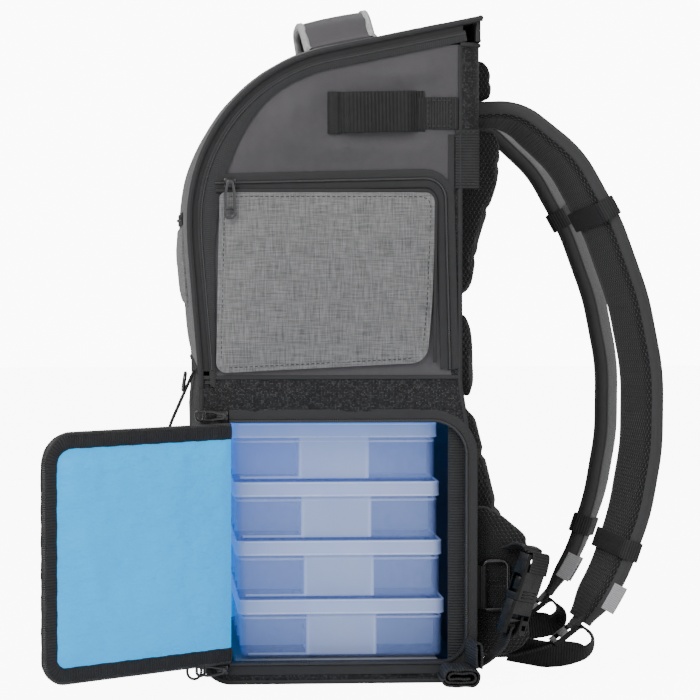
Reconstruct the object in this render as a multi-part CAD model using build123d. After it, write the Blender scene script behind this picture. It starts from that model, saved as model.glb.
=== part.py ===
from build123d import *
import math
import os

# Tackle backpack, in millimetres. +Z is up, +Y is the wearer's side, +X is the side with
# the box door. The origin is the centre of the base, on the ground.

# ---- The bag's body ----
HALF_WIDTH = 150.0
WALL = 4.0
FRONT_Y = -102.0
BULGE_Y = -110.5
REAR_Y = 104.0
LOW_REAR_Y = 112.0
SEAM_Z = 240.0          # where the lower, coarse fabric meets the upper panels
BULGE_Z = 350.0
FRONT_TOP_Z = 474.5
REAR_TOP_Z = 519.0
TOP_RADIUS = 137.0
CLEAR = 0.3             # gap between pieces on different bodies

# ---- The box compartment and its door ----
FLOOR_Z = 208.0         # underside of the divider above the boxes
BOX_WIDTH = 163.0
BOX_LENGTH = 262.0
BOX_HEIGHT = 46.0
BOX_PITCH = 46.5
BOX_STEP = 2.0          # each lower box sits a little further back
BOX_COUNT = 4
BOX_WALL = 1.5
BOX_LIP = 12.0
BOX_LOW_Z = 18.5
BOX_FRONT_Y = -77.0
BOX_FACE_X = 130.0
DOOR_FRONT_Y = -80.0
DOOR_REAR_Y = 106.0
DOOR_LOW_Z = 17.5
DOOR_TOP_Z = 205.5
DOOR_TOP_RADIUS = 26.0
DOOR_LOW_RADIUS = 20.0
DOOR_HINGE_X = 151.5
DOOR_OPEN = 140.0       # degrees open as modelled
DOOR_INNER_X = 146.5
DOOR_OUTER_X = 152.0
DOOR_BINDING = 12.5

# ---- The clamshell lid ----
LID_THICKNESS = 3.0
LID_LIP = 8.0
LID_LOW_Z = 245.5
LID_REAR_Y = 118.0
LID_REAR_LOW_Z = 503.0
TOP_SLOPE = math.degrees(math.atan2(REAR_TOP_Z - FRONT_TOP_Z, REAR_Y - BULGE_Y))

# ---- The harness ----
STRAP_X = 91.0          # centre of each shoulder strap
STRAP_WIDTH = 62.0
STRAP_THICKNESS = 14.0
STRAP_ROUTE = [
    (104.5, 447.0), (150.0, 447.0), (193.0, 410.0), (222.0, 358.0), (243.0, 300.0),
    (254.5, 241.0), (254.0, 182.0), (245.0, 130.0), (228.0, 80.0), (205.0, 42.0),
]
STRAP_RADII = [40.0, 90.0, 150.0, 180.0, 180.0, 180.0, 180.0, 180.0]
WEBBING = 25.0
WEBBING_THICKNESS = 2.5
BELT_WEBBING = 38.0

# ---- The belt buckle ----
BUCKLE_CENTRE = (158.0, 150.5, 70.5)
BUCKLE_TILT = -17.9     # about X: the top leans towards the wearer
BUCKLE_TURN = -40.0     # about its own length
BUCKLE_WIDTH = 31.0
BUCKLE_THICKNESS = 12.0


def outline_face(points, radii):
    """A closed outline in (y, z) with a fillet at each point."""
    return make_face(FilletPolyline(*points, radius=radii, close=True))


def polygon(points):
    """A closed outline in (y, z) with sharp corners."""
    return make_face(Polyline(*points, close=True))


def strip(points, radii, thickness):
    """A band of even thickness along a bent line in (y, z)."""
    return trace(FilletPolyline(*points, radius=radii), line_width=thickness)


def slab(face, x_low, x_high):
    """An outline in (y, z) carried across the bag from x_low to x_high."""
    return extrude(Plane.YZ.offset(x_low) * face, amount=x_high - x_low)


def block(x_range, y_range, z_range):
    """A plain block between two corners."""
    low = (x_range[0], y_range[0], z_range[0])
    size = (x_range[1] - x_range[0], y_range[1] - y_range[0], z_range[1] - z_range[0])
    return Pos(*low) * Box(*size, align=(Align.MIN, Align.MIN, Align.MIN))


def pair(right_part):
    """A right-hand piece and its mirror image, as one group."""
    return Compound(children=[*right_part.solids(), *mirror(right_part, about=Plane.YZ).solids()])


def group(*parts):
    """Several separate solids in one node."""
    return Compound(children=[solid for part in parts for solid in part.solids()])


def swing_door(part):
    """Turn a piece of the closed door to the open position it is kept in."""
    hinge = Pos(DOOR_HINGE_X, DOOR_FRONT_Y, 0)
    return hinge * Rot(0, 0, -DOOR_OPEN) * Pos(-DOOR_HINGE_X, -DOOR_FRONT_Y, 0) * part


# The side outline's corners, clockwise from the front foot: y, z, and the fillet there.
# A negative fillet is an inward bend, whose radius grows as the outline is inset.
CORNERS = [
    (FRONT_Y, 0.0, 25.0), (FRONT_Y, SEAM_Z + 5, -300.0), (BULGE_Y, BULGE_Z, 300.0),
    (BULGE_Y, FRONT_TOP_Z, TOP_RADIUS), (REAR_Y, REAR_TOP_Z, 4.0), (REAR_Y, 235.0, -60.0),
    (LOW_REAR_Y, 185.0, 60.0), (LOW_REAR_Y, 0.0, 22.0),
]


def bag_outline(inset=0.0):
    """The bag's side outline, moved inwards by a distance."""
    points = []
    radii = []
    for index, (y, z, radius) in enumerate(CORNERS):
        before = CORNERS[index - 1]
        after = CORNERS[(index + 1) % len(CORNERS)]
        turn_in = math.atan2(z - before[1], y - before[0])
        turn_out = math.atan2(after[1] - z, after[0] - y)
        half = (turn_out - turn_in) / 2
        half = (half + math.pi / 2) % math.pi - math.pi / 2
        middle = turn_in + half - math.pi / 2
        reach = inset / math.cos(half)
        points.append((y + reach * math.cos(middle), z + reach * math.sin(middle)))
        radii.append(max(radius - inset, 0.0) if radius > 0 else inset - radius)
    return outline_face(points, radii)


OUTLINE = bag_outline()


def ring_of_outline(outer_inset, inner_inset):
    """The strip of the side outline between two insets."""
    return bag_outline(outer_inset) - bag_outline(inner_inset)


def lid_region():
    """The part of the side view that belongs to the lid."""
    return polygon([(-130, LID_LOW_Z), (-130, 560), (REAR_Y, 560), (REAR_Y, 509), (85, 500),
                    (0, 470), (-60, 400), (-85, LID_LOW_Z)])


def box_in_side_view(y_low, y_high, z_low, z_high):
    """A rectangle in (y, z)."""
    return polygon([(y_low, z_low), (y_high, z_low), (y_high, z_high), (y_low, z_high)])


# ---- Body shell ----
BASE_FRONT_Y = -75.0
BASE_REAR_Y = 88.0
INNER_X = HALF_WIDTH - WALL


def base_panel():
    face = ring_of_outline(0, WALL) & box_in_side_view(BASE_FRONT_Y, BASE_REAR_Y, -1, 6)
    return slab(face, -INNER_X, INNER_X)


def base_board():
    return block((-140, 140), (BASE_FRONT_Y + 1, BASE_REAR_Y - 1), (WALL, WALL + 2))


def base_foam():
    return block((-140, 138), (BASE_FRONT_Y + 1, BASE_REAR_Y - 1), (WALL + 2, 16.8))


def front_panel_lower():
    face = ring_of_outline(0, WALL) & box_in_side_view(-130, BASE_FRONT_Y, -1, SEAM_Z)
    return slab(face, -INNER_X, INNER_X)


def front_foam():
    return block((-140, 140), (FRONT_Y + WALL, -84), (26, 206))


def back_panel():
    face = ring_of_outline(0, WALL) & box_in_side_view(BASE_REAR_Y, 130, -1, 500)
    return slab(face, -INNER_X, INNER_X)


def back_stiffener():
    return block((-125, 125), (REAR_Y - WALL - 2, REAR_Y - WALL), (240, 488))


def compartment_floor():
    return block((-INNER_X, INNER_X), (FRONT_Y + WALL, REAR_Y - WALL), (FLOOR_Z, FLOOR_Z + WALL))


def door_opening(grow=0.0):
    """The opening's outline: square at the hinge, rounded at the free corners."""
    points = [
        (DOOR_FRONT_Y - grow, DOOR_LOW_Z - grow), (DOOR_REAR_Y + grow, DOOR_LOW_Z - grow),
        (DOOR_REAR_Y + grow, DOOR_TOP_Z + grow), (DOOR_FRONT_Y - grow, DOOR_TOP_Z + grow),
    ]
    return outline_face(points, [3, DOOR_LOW_RADIUS + grow, DOOR_TOP_RADIUS + grow, 3])


def side_panel_lower(sign):
    face = OUTLINE & box_in_side_view(-130, 130, -1, SEAM_Z)
    if sign > 0:
        face = face - door_opening()
    return slab(face, min(sign * INNER_X, sign * HALF_WIDTH), max(sign * INNER_X, sign * HALF_WIDTH))


def side_panel_upper(sign):
    front = bag_outline(LID_LIP + CLEAR) & box_in_side_view(-130, 90, SEAM_Z, 560)
    rear = OUTLINE & box_in_side_view(90, REAR_Y, SEAM_Z, 500)
    face = front + rear
    return slab(face, min(sign * INNER_X, sign * HALF_WIDTH), max(sign * INNER_X, sign * HALF_WIDTH))


def box_lining():
    """A thin tray-shaped lining on the compartment's back wall, far side and ceiling."""
    outer = block((-INNER_X, 139.5), (-84, REAR_Y - WALL + 3.5), (17.0, FLOOR_Z))
    inner = block((-INNER_X + 1, 140), (-83, REAR_Y - WALL + 2.5), (16.0, FLOOR_Z - 1))
    return outer - inner


def door_rim():
    """The ribbed inner border that holds the boxes back."""
    rear_y = BOX_FRONT_Y + BOX_WIDTH + BOX_STEP * (BOX_COUNT - 1) + 1.5
    inner = box_in_side_view(DOOR_FRONT_Y + 0.5, rear_y, DOOR_LOW_Z, DOOR_TOP_Z)
    outer = bag_outline(WALL + 0.2) & box_in_side_view(-84, 130, WALL + 2, FLOOR_Z)
    return slab(outer - inner, 140, INNER_X)


TAPE_X = HALF_WIDTH + 1.2


def door_zip_tape():
    """Zipper tape and coil on the bag, around three sides of the opening."""
    ring = door_opening(9) - door_opening(0)
    return slab(ring & box_in_side_view(DOOR_FRONT_Y + 2, 130, 0, 300), HALF_WIDTH, TAPE_X)


def main_zip_tape():
    """The bag's half of the long clamshell zipper, on both sides."""
    ring = ring_of_outline(LID_LIP + CLEAR, LID_LIP + 8)
    face = (ring & lid_region()) - pocket_outline(-0.5)
    return pair(slab(face, HALF_WIDTH, TAPE_X))


# ---- Door ----
def closed_door_outline(inset):
    points = [
        (DOOR_FRONT_Y + 1, DOOR_LOW_Z + inset), (DOOR_REAR_Y - inset, DOOR_LOW_Z + inset),
        (DOOR_REAR_Y - inset, DOOR_TOP_Z - inset), (DOOR_FRONT_Y + 1, DOOR_TOP_Z - inset),
    ]
    return outline_face(points, [1, DOOR_LOW_RADIUS - inset, DOOR_TOP_RADIUS - inset, 1])


DOOR_GAP = 0.8


def door_panel():
    face = closed_door_outline(DOOR_BINDING)
    return swing_door(slab(face, DOOR_INNER_X + 1, DOOR_OUTER_X))


def door_lining():
    face = closed_door_outline(DOOR_BINDING)
    return swing_door(slab(face, DOOR_INNER_X, DOOR_INNER_X + 1))


def door_binding():
    ring = closed_door_outline(DOOR_GAP) - closed_door_outline(DOOR_BINDING)
    return swing_door(slab(ring, DOOR_INNER_X, DOOR_OUTER_X))


# ---- Zipper sliders and pulls ----
SLIDER_LENGTH = 9.0
SLIDER_WIDTH = 7.0
SLIDER_HEIGHT = 4.5
PULL_WIDTH = 8.5
PULL_THICKNESS = 1.6
SLIDER_X = TAPE_X + CLEAR


def slider_block():
    """A slider lying in (y, z), moving along y, with its bridge on top."""
    body = Box(SLIDER_HEIGHT - 2, SLIDER_LENGTH, SLIDER_WIDTH, align=(Align.MIN, Align.CENTER, Align.CENTER))
    bridge = Pos(SLIDER_HEIGHT - 2, 0, 0) * Box(3.2, SLIDER_LENGTH - 2, 2.4,
                                                align=(Align.MIN, Align.CENTER, Align.CENTER))
    eye = Pos(SLIDER_HEIGHT - 2 + 1.2, 0, 0) * Box(2.6, 3.0, 10, align=(Align.CENTER, Align.CENTER, Align.CENTER))
    return body + bridge - eye


def pull_plate(length, hole_radius):
    """A pull hanging from the origin along -Z, its thickness along X."""
    half = PULL_WIDTH / 2
    points = [(-2.2, -2), (2.2, -2), (half, -10), (half, -length), (-half, -length), (-half, -10)]
    face = outline_face(points, [0.8, 0.8, 4, 3.5, 3.5, 4])
    hole = Pos(0, -length + half) * Circle(hole_radius)
    return extrude(Plane.YZ.offset(-PULL_THICKNESS / 2) * (face - hole), amount=PULL_THICKNESS)


PULL_X = SLIDER_X + 6.8
POCKET_SLIDER_Y = -78.0
POCKET_ZIP_Z = 392.0
POCKET_PULL_LENGTH = 27.0
MAIN_SLIDER_Y = -95.3
MAIN_SLIDER_Z = 264.0
DOOR_SLIDER_Y = -84.5
DOOR_SLIDER_TOP_Z = DOOR_TOP_Z + 5.5
DOOR_SLIDER_LOW_Z = DOOR_LOW_Z - 5.5
DOOR_PULL_LENGTH = 20.0


def pocket_slider(sign):
    right = Pos(SLIDER_X, POCKET_SLIDER_Y, POCKET_ZIP_Z) * slider_block()
    return right if sign > 0 else mirror(right, about=Plane.YZ)


def pocket_pull(sign):
    right = Pos(PULL_X, POCKET_SLIDER_Y, POCKET_ZIP_Z) * pull_plate(POCKET_PULL_LENGTH, 2.6)
    return right if sign > 0 else mirror(right, about=Plane.YZ)


def main_slider():
    """On the left side, where the zipper runs straight up the front edge."""
    right = Pos(SLIDER_X, MAIN_SLIDER_Y, MAIN_SLIDER_Z) * Rot(90, 0, 0) * slider_block()
    return mirror(right, about=Plane.YZ)


def main_pull():
    right = Pos(PULL_X, MAIN_SLIDER_Y, MAIN_SLIDER_Z) * pull_plate(POCKET_PULL_LENGTH, 2.6)
    return mirror(right, about=Plane.YZ)


def door_sliders():
    top = Pos(SLIDER_X, DOOR_SLIDER_Y, DOOR_SLIDER_TOP_Z) * slider_block()
    low = Pos(SLIDER_X, DOOR_SLIDER_Y, DOOR_SLIDER_LOW_Z) * slider_block()
    return group(top, low)


def door_pull(height):
    """A pull lying along the zipper, towards the bag's front."""
    lying = Rot(-90, 0, 0) * pull_plate(DOOR_PULL_LENGTH, 2.4)
    return Pos(PULL_X, DOOR_SLIDER_Y, height) * lying


# ---- Side pockets and rod bands ----
def pocket_outline(inset=0.0):
    points = [
        (-89 + inset, 244 + inset), (76 - inset, 252 + inset), (80 - inset, 300),
        (83 - inset, 385 - inset), (-86 + inset, 385 - inset),
    ]
    return outline_face(points, [8, 14, 60, 8, 5])


def pocket_panel(sign):
    right = slab(pocket_outline(), HALF_WIDTH, HALF_WIDTH + 3)
    return right if sign > 0 else mirror(right, about=Plane.YZ)


def pocket_zips():
    """Tape and coil above each pocket and down its rear edge."""
    route = [(-88, POCKET_ZIP_Z), (90, POCKET_ZIP_Z + 4), (93, 254)]
    return pair(slab(strip(route, [16], 12), HALF_WIDTH, TAPE_X))


BAND_Y = (0.0, 74.0)
BAND_Z = (431.0, 463.0)
BAND_GAP = 5.5


def rod_bands():
    """Elastic bands sewn down at both ends, standing off the side panel."""
    low, high = BAND_Y
    outer = HALF_WIDTH + BAND_GAP + 2
    line = FilletPolyline((HALF_WIDTH + 1, low), (HALF_WIDTH + 1, low + 6), (outer - 1, low + 13),
                          (outer - 1, high - 13), (HALF_WIDTH + 1, high - 6), (HALF_WIDTH + 1, high),
                          radius=5)
    face = trace(line, line_width=2)
    return pair(extrude(Plane.XY.offset(BAND_Z[0]) * face, amount=BAND_Z[1] - BAND_Z[0]))


def side_webbing():
    """The flat webbing behind each band, and the webbing that holds the strap's top."""
    tail = block((HALF_WIDTH, HALF_WIDTH + WEBBING_THICKNESS), (BAND_Y[1], 98), (434, 459))
    anchor = slab(polygon([(98, 388), (115, 388), (125, 432), (99, 432)]), 145.5, 148)
    anchor = anchor - slab(OUTLINE, 140, 150)
    return group(pair(tail), pair(anchor))


# ---- Harness ----
def back_pads():
    """The neck pad, a pair of upper pads with an air channel, and the middle pad."""
    neck = outline_face([(104, 456), (133, 457.5), (134, 478), (127, 492), (104, 492)], [1, 6, 10, 5, 1])
    upper = outline_face([(104, 296), (112, 300), (121, 350), (135, 395), (139.5, 425), (134, 437.5),
                          (104, 437.5)], [1, 6, 40, 40, 5, 2, 1])
    middle = outline_face([(106.5, 222), (117, 222), (114, 292), (104, 292), (104, 238)], [1, 4, 4, 1, 10])
    channel = 12.0
    return group(slab(neck, -110, 110), slab(upper, channel, 112), slab(upper, -112, -channel),
                 slab(middle, -112, 112))


def lumbar_pad():
    points = [(107.6, 216), (112, 186), (112, 36), (141, 36), (149, 62), (147, 108), (135, 140),
              (124, 185), (118, 216)]
    face = outline_face(points, [1, 1, 1, 10, 20, 30, 60, 60, 4])
    return slab(face, -104, 104)


def shoulder_strap(sign):
    low = STRAP_X - STRAP_WIDTH / 2
    face = strip(STRAP_ROUTE, STRAP_RADII, STRAP_THICKNESS)
    right = slab(face, low, low + STRAP_WIDTH)
    return right if sign > 0 else mirror(right, about=Plane.YZ)


def on_strap(near, far, share):
    """The place and slope of a point between two points of the strap's route."""
    (y0, z0), (y1, z1) = STRAP_ROUTE[near], STRAP_ROUTE[far]
    slope = math.degrees(math.atan2(z1 - z0, y1 - y0))
    return Pos(STRAP_X, y0 + (y1 - y0) * share, z0 + (z1 - z0) * share) * Rot(slope, 0, 0)


def strap_keepers():
    """A woven elastic loop around each strap."""
    outer = Box(STRAP_WIDTH + 4, 16, STRAP_THICKNESS + 4.6)
    inner = Box(STRAP_WIDTH + 0.4, 20, STRAP_THICKNESS + 1.0)
    return pair(on_strap(7, 8, 0.5) * (outer - inner))


def strap_tabs():
    """A stitched tab of light webbing on the outer face at each strap's end."""
    tab = Pos(0, 0, STRAP_THICKNESS / 2 + 1.1) * Box(WEBBING, 20, 2)
    return pair(on_strap(8, 9, 0.62) * tab)


LADDER_CENTRE = (193.0, 30.0)


def ladder_locks():
    """A plastic strap adjuster: a frame with one middle bar."""
    frame = Box(32, 24, 4)
    front_slot = Pos(0, 5.6, 0) * Box(WEBBING + 1, 3.6, 6)
    rear_slot = Pos(0, -5.6, 0) * Box(WEBBING + 1, 3.6, 6)
    shape = frame - front_slot - rear_slot
    return pair(Pos(STRAP_X, *LADDER_CENTRE) * Rot(38, 0, 0) * fillet(shape.edges().filter_by(Axis.Z), 1.2))


def strap_webbing():
    """Webbing from the bag's lower corners to each adjuster, and its loose tail."""
    low = STRAP_X - WEBBING / 2
    lead = strip([(112.3, 14), (150, 14), (182, 20.5)], [60], WEBBING_THICKNESS)
    tail = strip([(206, 34), (216, 22), (208, 6), (176, 4), (152, 9)], [7, 9, 25], WEBBING_THICKNESS)
    return group(pair(slab(lead, low, low + WEBBING)), pair(slab(tail, low, low + WEBBING)))


def hip_wings():
    """Padded wings on both sides of the lumbar pad."""
    points = [(112.3, 20), (140, 17), (160, 24), (166, 60), (160, 114), (140, 130), (122, 140), (112.3, 136)]
    return pair(slab(outline_face(points, [4, 20, 20, 60, 12, 20, 12, 4]), 118, 134))


RING_X = 139.0
ROLL_X = 154.0
RING_Y = (122.0, 141.5)
RING_Z = (56.0, 94.5)
RING_WIRE = 1.6


def belt_webbing():
    """The wide webbing sewn on each wing; on the right it wraps the ring's front bar."""
    right = block((134, 136.5), (113, RING_Y[0] - 2.4), (57, 91))
    wrap = block((136.5, 139), (113, RING_Y[0] - 2.4), (57, 91))
    return group(pair(right), pair(wrap))


def belt_ring():
    """A rectangular ring of round wire."""
    corner = 4.0
    path = FilletPolyline((RING_Y[0], RING_Z[0]), (RING_Y[1], RING_Z[0]), (RING_Y[1], RING_Z[1]),
                          (RING_Y[0], RING_Z[1]), radius=corner, close=True)
    wire = Plane.YZ.offset(RING_X) * path
    start = wire.edges()[0]
    return sweep(Plane(start @ 0, z_dir=start % 0) * Circle(RING_WIRE), path=wire)


# ---- Belt buckle, built along its own Z and then placed ----
def place_buckle(part):
    return Pos(*BUCKLE_CENTRE) * Rot(BUCKLE_TILT, 0, 0) * Rot(0, 0, BUCKLE_TURN) * part


FEMALE_Z = (-5.0, 32.0)
MALE_Z = (-32.0, -5.0 - CLEAR)
PRONG_TIP_Z = 17.0
PRONG_X = 9.5


def buckle_female():
    """A sleeve open below, with a window in each side for a prong and a bar on top."""
    height = FEMALE_Z[1] - FEMALE_Z[0]
    shell = Pos(0, 0, FEMALE_Z[0]) * Box(BUCKLE_WIDTH, BUCKLE_THICKNESS, height,
                                         align=(Align.CENTER, Align.CENTER, Align.MIN))
    shell = fillet(shell.edges().filter_by(Axis.Z), 2.5)
    cavity = Pos(0, 0, FEMALE_Z[0]) * Box(BUCKLE_WIDTH - 4, BUCKLE_THICKNESS - 4, 26,
                                          align=(Align.CENTER, Align.CENTER, Align.MIN))
    windows = Pos(0, 0, 8) * Box(BUCKLE_WIDTH + 2, BUCKLE_THICKNESS - 4, 15)
    webbing_slot = Pos(0, 0, 26.5) * Box(WEBBING, BUCKLE_THICKNESS + 2, 4)
    return place_buckle(shell - cavity - windows - webbing_slot)


def buckle_male():
    """The plug's base with its webbing slots and the middle guide."""
    height = MALE_Z[1] - MALE_Z[0]
    base = Pos(0, 0, MALE_Z[0]) * Box(BUCKLE_WIDTH, BUCKLE_THICKNESS - 2, height,
                                      align=(Align.CENTER, Align.CENTER, Align.MIN))
    base = fillet(base.edges().filter_by(Axis.Z), 2.5)
    slots = Pos(0, 0, -26) * Box(WEBBING, BUCKLE_THICKNESS, 4) + Pos(0, 0, -18) * Box(WEBBING, BUCKLE_THICKNESS, 4)
    guide = Pos(0, 0, MALE_Z[1]) * Box(4, 4, PRONG_TIP_Z - MALE_Z[1],
                                       align=(Align.CENTER, Align.CENTER, Align.MIN))
    return place_buckle(base - slots + guide)


def buckle_prong(sign):
    """One springy arm, hinged at the plug's base."""
    low = MALE_Z[1] + CLEAR
    arm = Pos(sign * PRONG_X, 0, low) * Box(3, 6, PRONG_TIP_Z - low, align=(Align.CENTER, Align.CENTER, Align.MIN))
    head = Pos(sign * (PRONG_X + 1.6), 0, 2.5) * Box(4.6, 6, 11, align=(Align.CENTER, Align.CENTER, Align.MIN))
    return place_buckle(arm + head)


def belt_roll():
    """The belt's spare webbing: a flat coil on the ground with one fold standing up."""
    coil = outline_face([(84, 2), (114, 2), (114, 16.2), (84, 16.2)], [6, 6, 6, 6])
    fold = outline_face([(108.5, 16.6), (114, 16.6), (114, 36), (108.5, 36)], [1, 1, 2.5, 2.5])
    return group(slab(coil, ROLL_X, ROLL_X + BELT_WEBBING), slab(fold, ROLL_X, ROLL_X + BELT_WEBBING))


# ---- Lid ----
def lid_shell():
    """Front and top panel in one, with lips that overlap the side panels' edges."""
    plate = ring_of_outline(0, LID_THICKNESS) & lid_region()
    overhang = polygon([(REAR_Y - 1, REAR_TOP_Z - 3.4), (REAR_Y - 1, REAR_TOP_Z - 0.21),
                        (LID_REAR_Y, REAR_TOP_Z + 2.9), (LID_REAR_Y, LID_REAR_LOW_Z),
                        (LID_REAR_Y - 3, LID_REAR_LOW_Z), (LID_REAR_Y - 3, REAR_TOP_Z - 1)])
    lip = ring_of_outline(0, LID_LIP) & lid_region()
    body = slab(plate + overhang, -HALF_WIDTH, HALF_WIDTH)
    return body + slab(lip, INNER_X, HALF_WIDTH) + slab(lip, -HALF_WIDTH, -INNER_X)


def front_pocket():
    """A flat pocket on the lid's front, following its lower, nearly upright part."""
    face = outline_face([(-107.4, 292), (-110.6, 345), (-110.6, 362), (-114.5, 356), (-114.5, 340),
                         (-111.0, 296)], [1, 60, 1, 4, 30, 2])
    return slab(face, -112, 112)


def lash_strap():
    """A webbing strap that hangs at a slant from the top of the lower front panel."""
    route = [(-103.6, 238), (-108, 230), (-125, 192), (-129, 150)]
    return slab(strip(route, [12, 60], WEBBING_THICKNESS), -12.5, 12.5)


HANDLE_Y = 15.0
HANDLE_HALF_SPAN = 78.0
HANDLE_WIDTH = 56.0
HANDLE_RISE = 29.0
HANDLE_THICKNESS = 6.0


def top_height(y):
    """Height of the lid's top face over a point of its straight run."""
    return FRONT_TOP_Z + (y - BULGE_Y) * math.tan(math.radians(TOP_SLOPE))


def carry_handle():
    """A padded strap arched across the top."""
    span = HANDLE_HALF_SPAN
    line = FilletPolyline((-span, 3.4), (-span + 16, 3.4), (-span + 32, HANDLE_RISE - 4), (0, HANDLE_RISE - 1),
                          (span - 32, HANDLE_RISE - 4), (span - 16, 3.4), (span, 3.4),
                          radius=[14, 18, 300, 18, 14])
    face = trace(line, line_width=HANDLE_THICKNESS)
    arch = extrude(Plane.XZ * face, amount=HANDLE_WIDTH / 2, both=True)
    return Pos(0, HANDLE_Y, top_height(HANDLE_Y)) * Rot(TOP_SLOPE, 0, 0) * arch


# ---- Tackle boxes ----
def box_corner(index):
    """Low front corner of a box, counted from the top."""
    z = BOX_LOW_Z + (BOX_COUNT - 1 - index) * BOX_PITCH
    y = BOX_FRONT_Y + BOX_STEP * index
    return (BOX_FACE_X - BOX_LENGTH, y, z)


def open_box(length, width, height, wall, radius):
    """A rounded box open on top, from its low corner."""
    outer = Box(length, width, height, align=(Align.MIN, Align.MIN, Align.MIN))
    outer = fillet(outer.edges().filter_by(Axis.Z), radius)
    inner = Pos(wall, wall, wall) * Box(length - 2 * wall, width - 2 * wall, height,
                                        align=(Align.MIN, Align.MIN, Align.MIN))
    inner = fillet(inner.edges().filter_by(Axis.Z), radius - wall)
    return outer - inner


def tackle_box_tray(index):
    """The tray: three long columns between two moulded ribs."""
    inset = BOX_WALL + CLEAR
    length = BOX_LENGTH - 2 * inset
    width = BOX_WIDTH - 2 * inset
    height = BOX_HEIGHT - BOX_WALL - CLEAR
    tray = open_box(length, width, height, BOX_WALL, 6)
    for share in (1, 2):
        rib = Pos(BOX_WALL, width * share / 3 - 0.6, BOX_WALL) * Box(
            length - 2 * BOX_WALL, 1.2, height - BOX_WALL - 1, align=(Align.MIN, Align.MIN, Align.MIN))
        tray = tray + rib
    x, y, z = box_corner(index)
    return Pos(x + inset, y + inset, z) * tray


def tackle_box_lid(index):
    """A flat lid with a lip that goes down around the tray."""
    lid = open_box(BOX_LENGTH, BOX_WIDTH, BOX_LIP, BOX_WALL, 7)
    upside_down = Pos(0, BOX_WIDTH, BOX_LIP) * Rot(180, 0, 0) * lid
    x, y, z = box_corner(index)
    return Pos(x, y, z + BOX_HEIGHT - BOX_LIP) * upside_down


def all_parts():
    parts = {
        "base_panel": base_panel(),
        "base_board": base_board(),
        "base_foam": base_foam(),
        "front_panel_lower": front_panel_lower(),
        "front_foam": front_foam(),
        "back_panel": back_panel(),
        "back_stiffener": back_stiffener(),
        "compartment_floor": compartment_floor(),
        "box_lining": box_lining(),
        "door_rim": door_rim(),
        "door_zip_tape": door_zip_tape(),
        "main_zip_tape": main_zip_tape(),
        "door_sliders": door_sliders(),
        "pocket_zips": pocket_zips(),
        "rod_bands": rod_bands(),
        "side_webbing": side_webbing(),
        "back_pads": back_pads(),
        "lumbar_pad": lumbar_pad(),
        "strap_keepers": strap_keepers(),
        "strap_tabs": strap_tabs(),
        "ladder_locks": ladder_locks(),
        "harness_webbing": group(strap_webbing(), belt_webbing()),
        "hip_wings": hip_wings(),
        "belt_ring": belt_ring(),
        "belt_roll": belt_roll(),
        "buckle_female": buckle_female(),
        "buckle_male": buckle_male(),
        "buckle_prong_front": buckle_prong(-1),
        "buckle_prong_rear": buckle_prong(1),
        "main_slider": main_slider(),
        "main_pull": main_pull(),
        "door_pull_top": door_pull(DOOR_SLIDER_TOP_Z),
        "door_pull_bottom": door_pull(DOOR_SLIDER_LOW_Z),
        "door_panel": door_panel(),
        "door_lining": door_lining(),
        "door_binding": door_binding(),
        "lid_shell": lid_shell(),
        "front_pocket": front_pocket(),
        "lash_strap": lash_strap(),
        "carry_handle": carry_handle(),
    }
    for side, sign in (("right", 1), ("left", -1)):
        parts[f"side_panel_{side}_lower"] = side_panel_lower(sign)
        parts[f"side_panel_{side}_upper"] = side_panel_upper(sign)
        parts[f"pocket_panel_{side}"] = pocket_panel(sign)
        parts[f"pocket_slider_{side}"] = pocket_slider(sign)
        parts[f"pocket_pull_{side}"] = pocket_pull(sign)
        parts[f"shoulder_strap_{side}"] = shoulder_strap(sign)
    for index in range(BOX_COUNT):
        parts[f"tackle_box_{index + 1}_tray"] = tackle_box_tray(index)
        parts[f"tackle_box_{index + 1}_lid"] = tackle_box_lid(index)
    return parts


def write_parts():
    os.makedirs("parts", exist_ok=True)
    for name, shape in all_parts().items():
        export_step(shape, f"parts/{name}.step")


write_parts()
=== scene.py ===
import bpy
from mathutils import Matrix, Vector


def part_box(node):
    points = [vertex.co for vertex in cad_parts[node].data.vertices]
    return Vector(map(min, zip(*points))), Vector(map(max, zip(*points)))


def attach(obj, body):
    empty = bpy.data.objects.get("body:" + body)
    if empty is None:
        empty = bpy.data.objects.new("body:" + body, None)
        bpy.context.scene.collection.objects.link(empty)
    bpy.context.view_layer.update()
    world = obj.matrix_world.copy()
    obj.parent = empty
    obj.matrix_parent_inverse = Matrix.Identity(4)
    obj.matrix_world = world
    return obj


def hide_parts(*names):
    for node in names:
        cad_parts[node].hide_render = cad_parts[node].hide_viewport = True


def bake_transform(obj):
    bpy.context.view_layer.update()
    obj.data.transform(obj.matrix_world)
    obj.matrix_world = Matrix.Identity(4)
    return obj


bl_info = {
    "name": "Tackle Backpack",
    "version": (1, 0, 0),
    "blender": (4, 5, 0),
    "location": "View3D > Sidebar > Backpack",
    "description": "Builds a fishing backpack with a box door, pockets and padded harness around its frame",
    "category": "Object",
}

import math

import bmesh
import bpy
from mathutils import Matrix, Vector, kdtree, noise

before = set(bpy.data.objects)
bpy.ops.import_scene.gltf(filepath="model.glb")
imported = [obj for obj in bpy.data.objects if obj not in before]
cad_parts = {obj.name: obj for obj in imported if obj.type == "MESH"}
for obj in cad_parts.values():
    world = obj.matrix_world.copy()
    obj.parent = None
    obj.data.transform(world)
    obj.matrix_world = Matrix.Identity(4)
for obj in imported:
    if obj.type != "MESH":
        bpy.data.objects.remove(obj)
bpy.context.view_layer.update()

MM = 0.001
SIDES = (("right", 1), ("left", -1))

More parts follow.
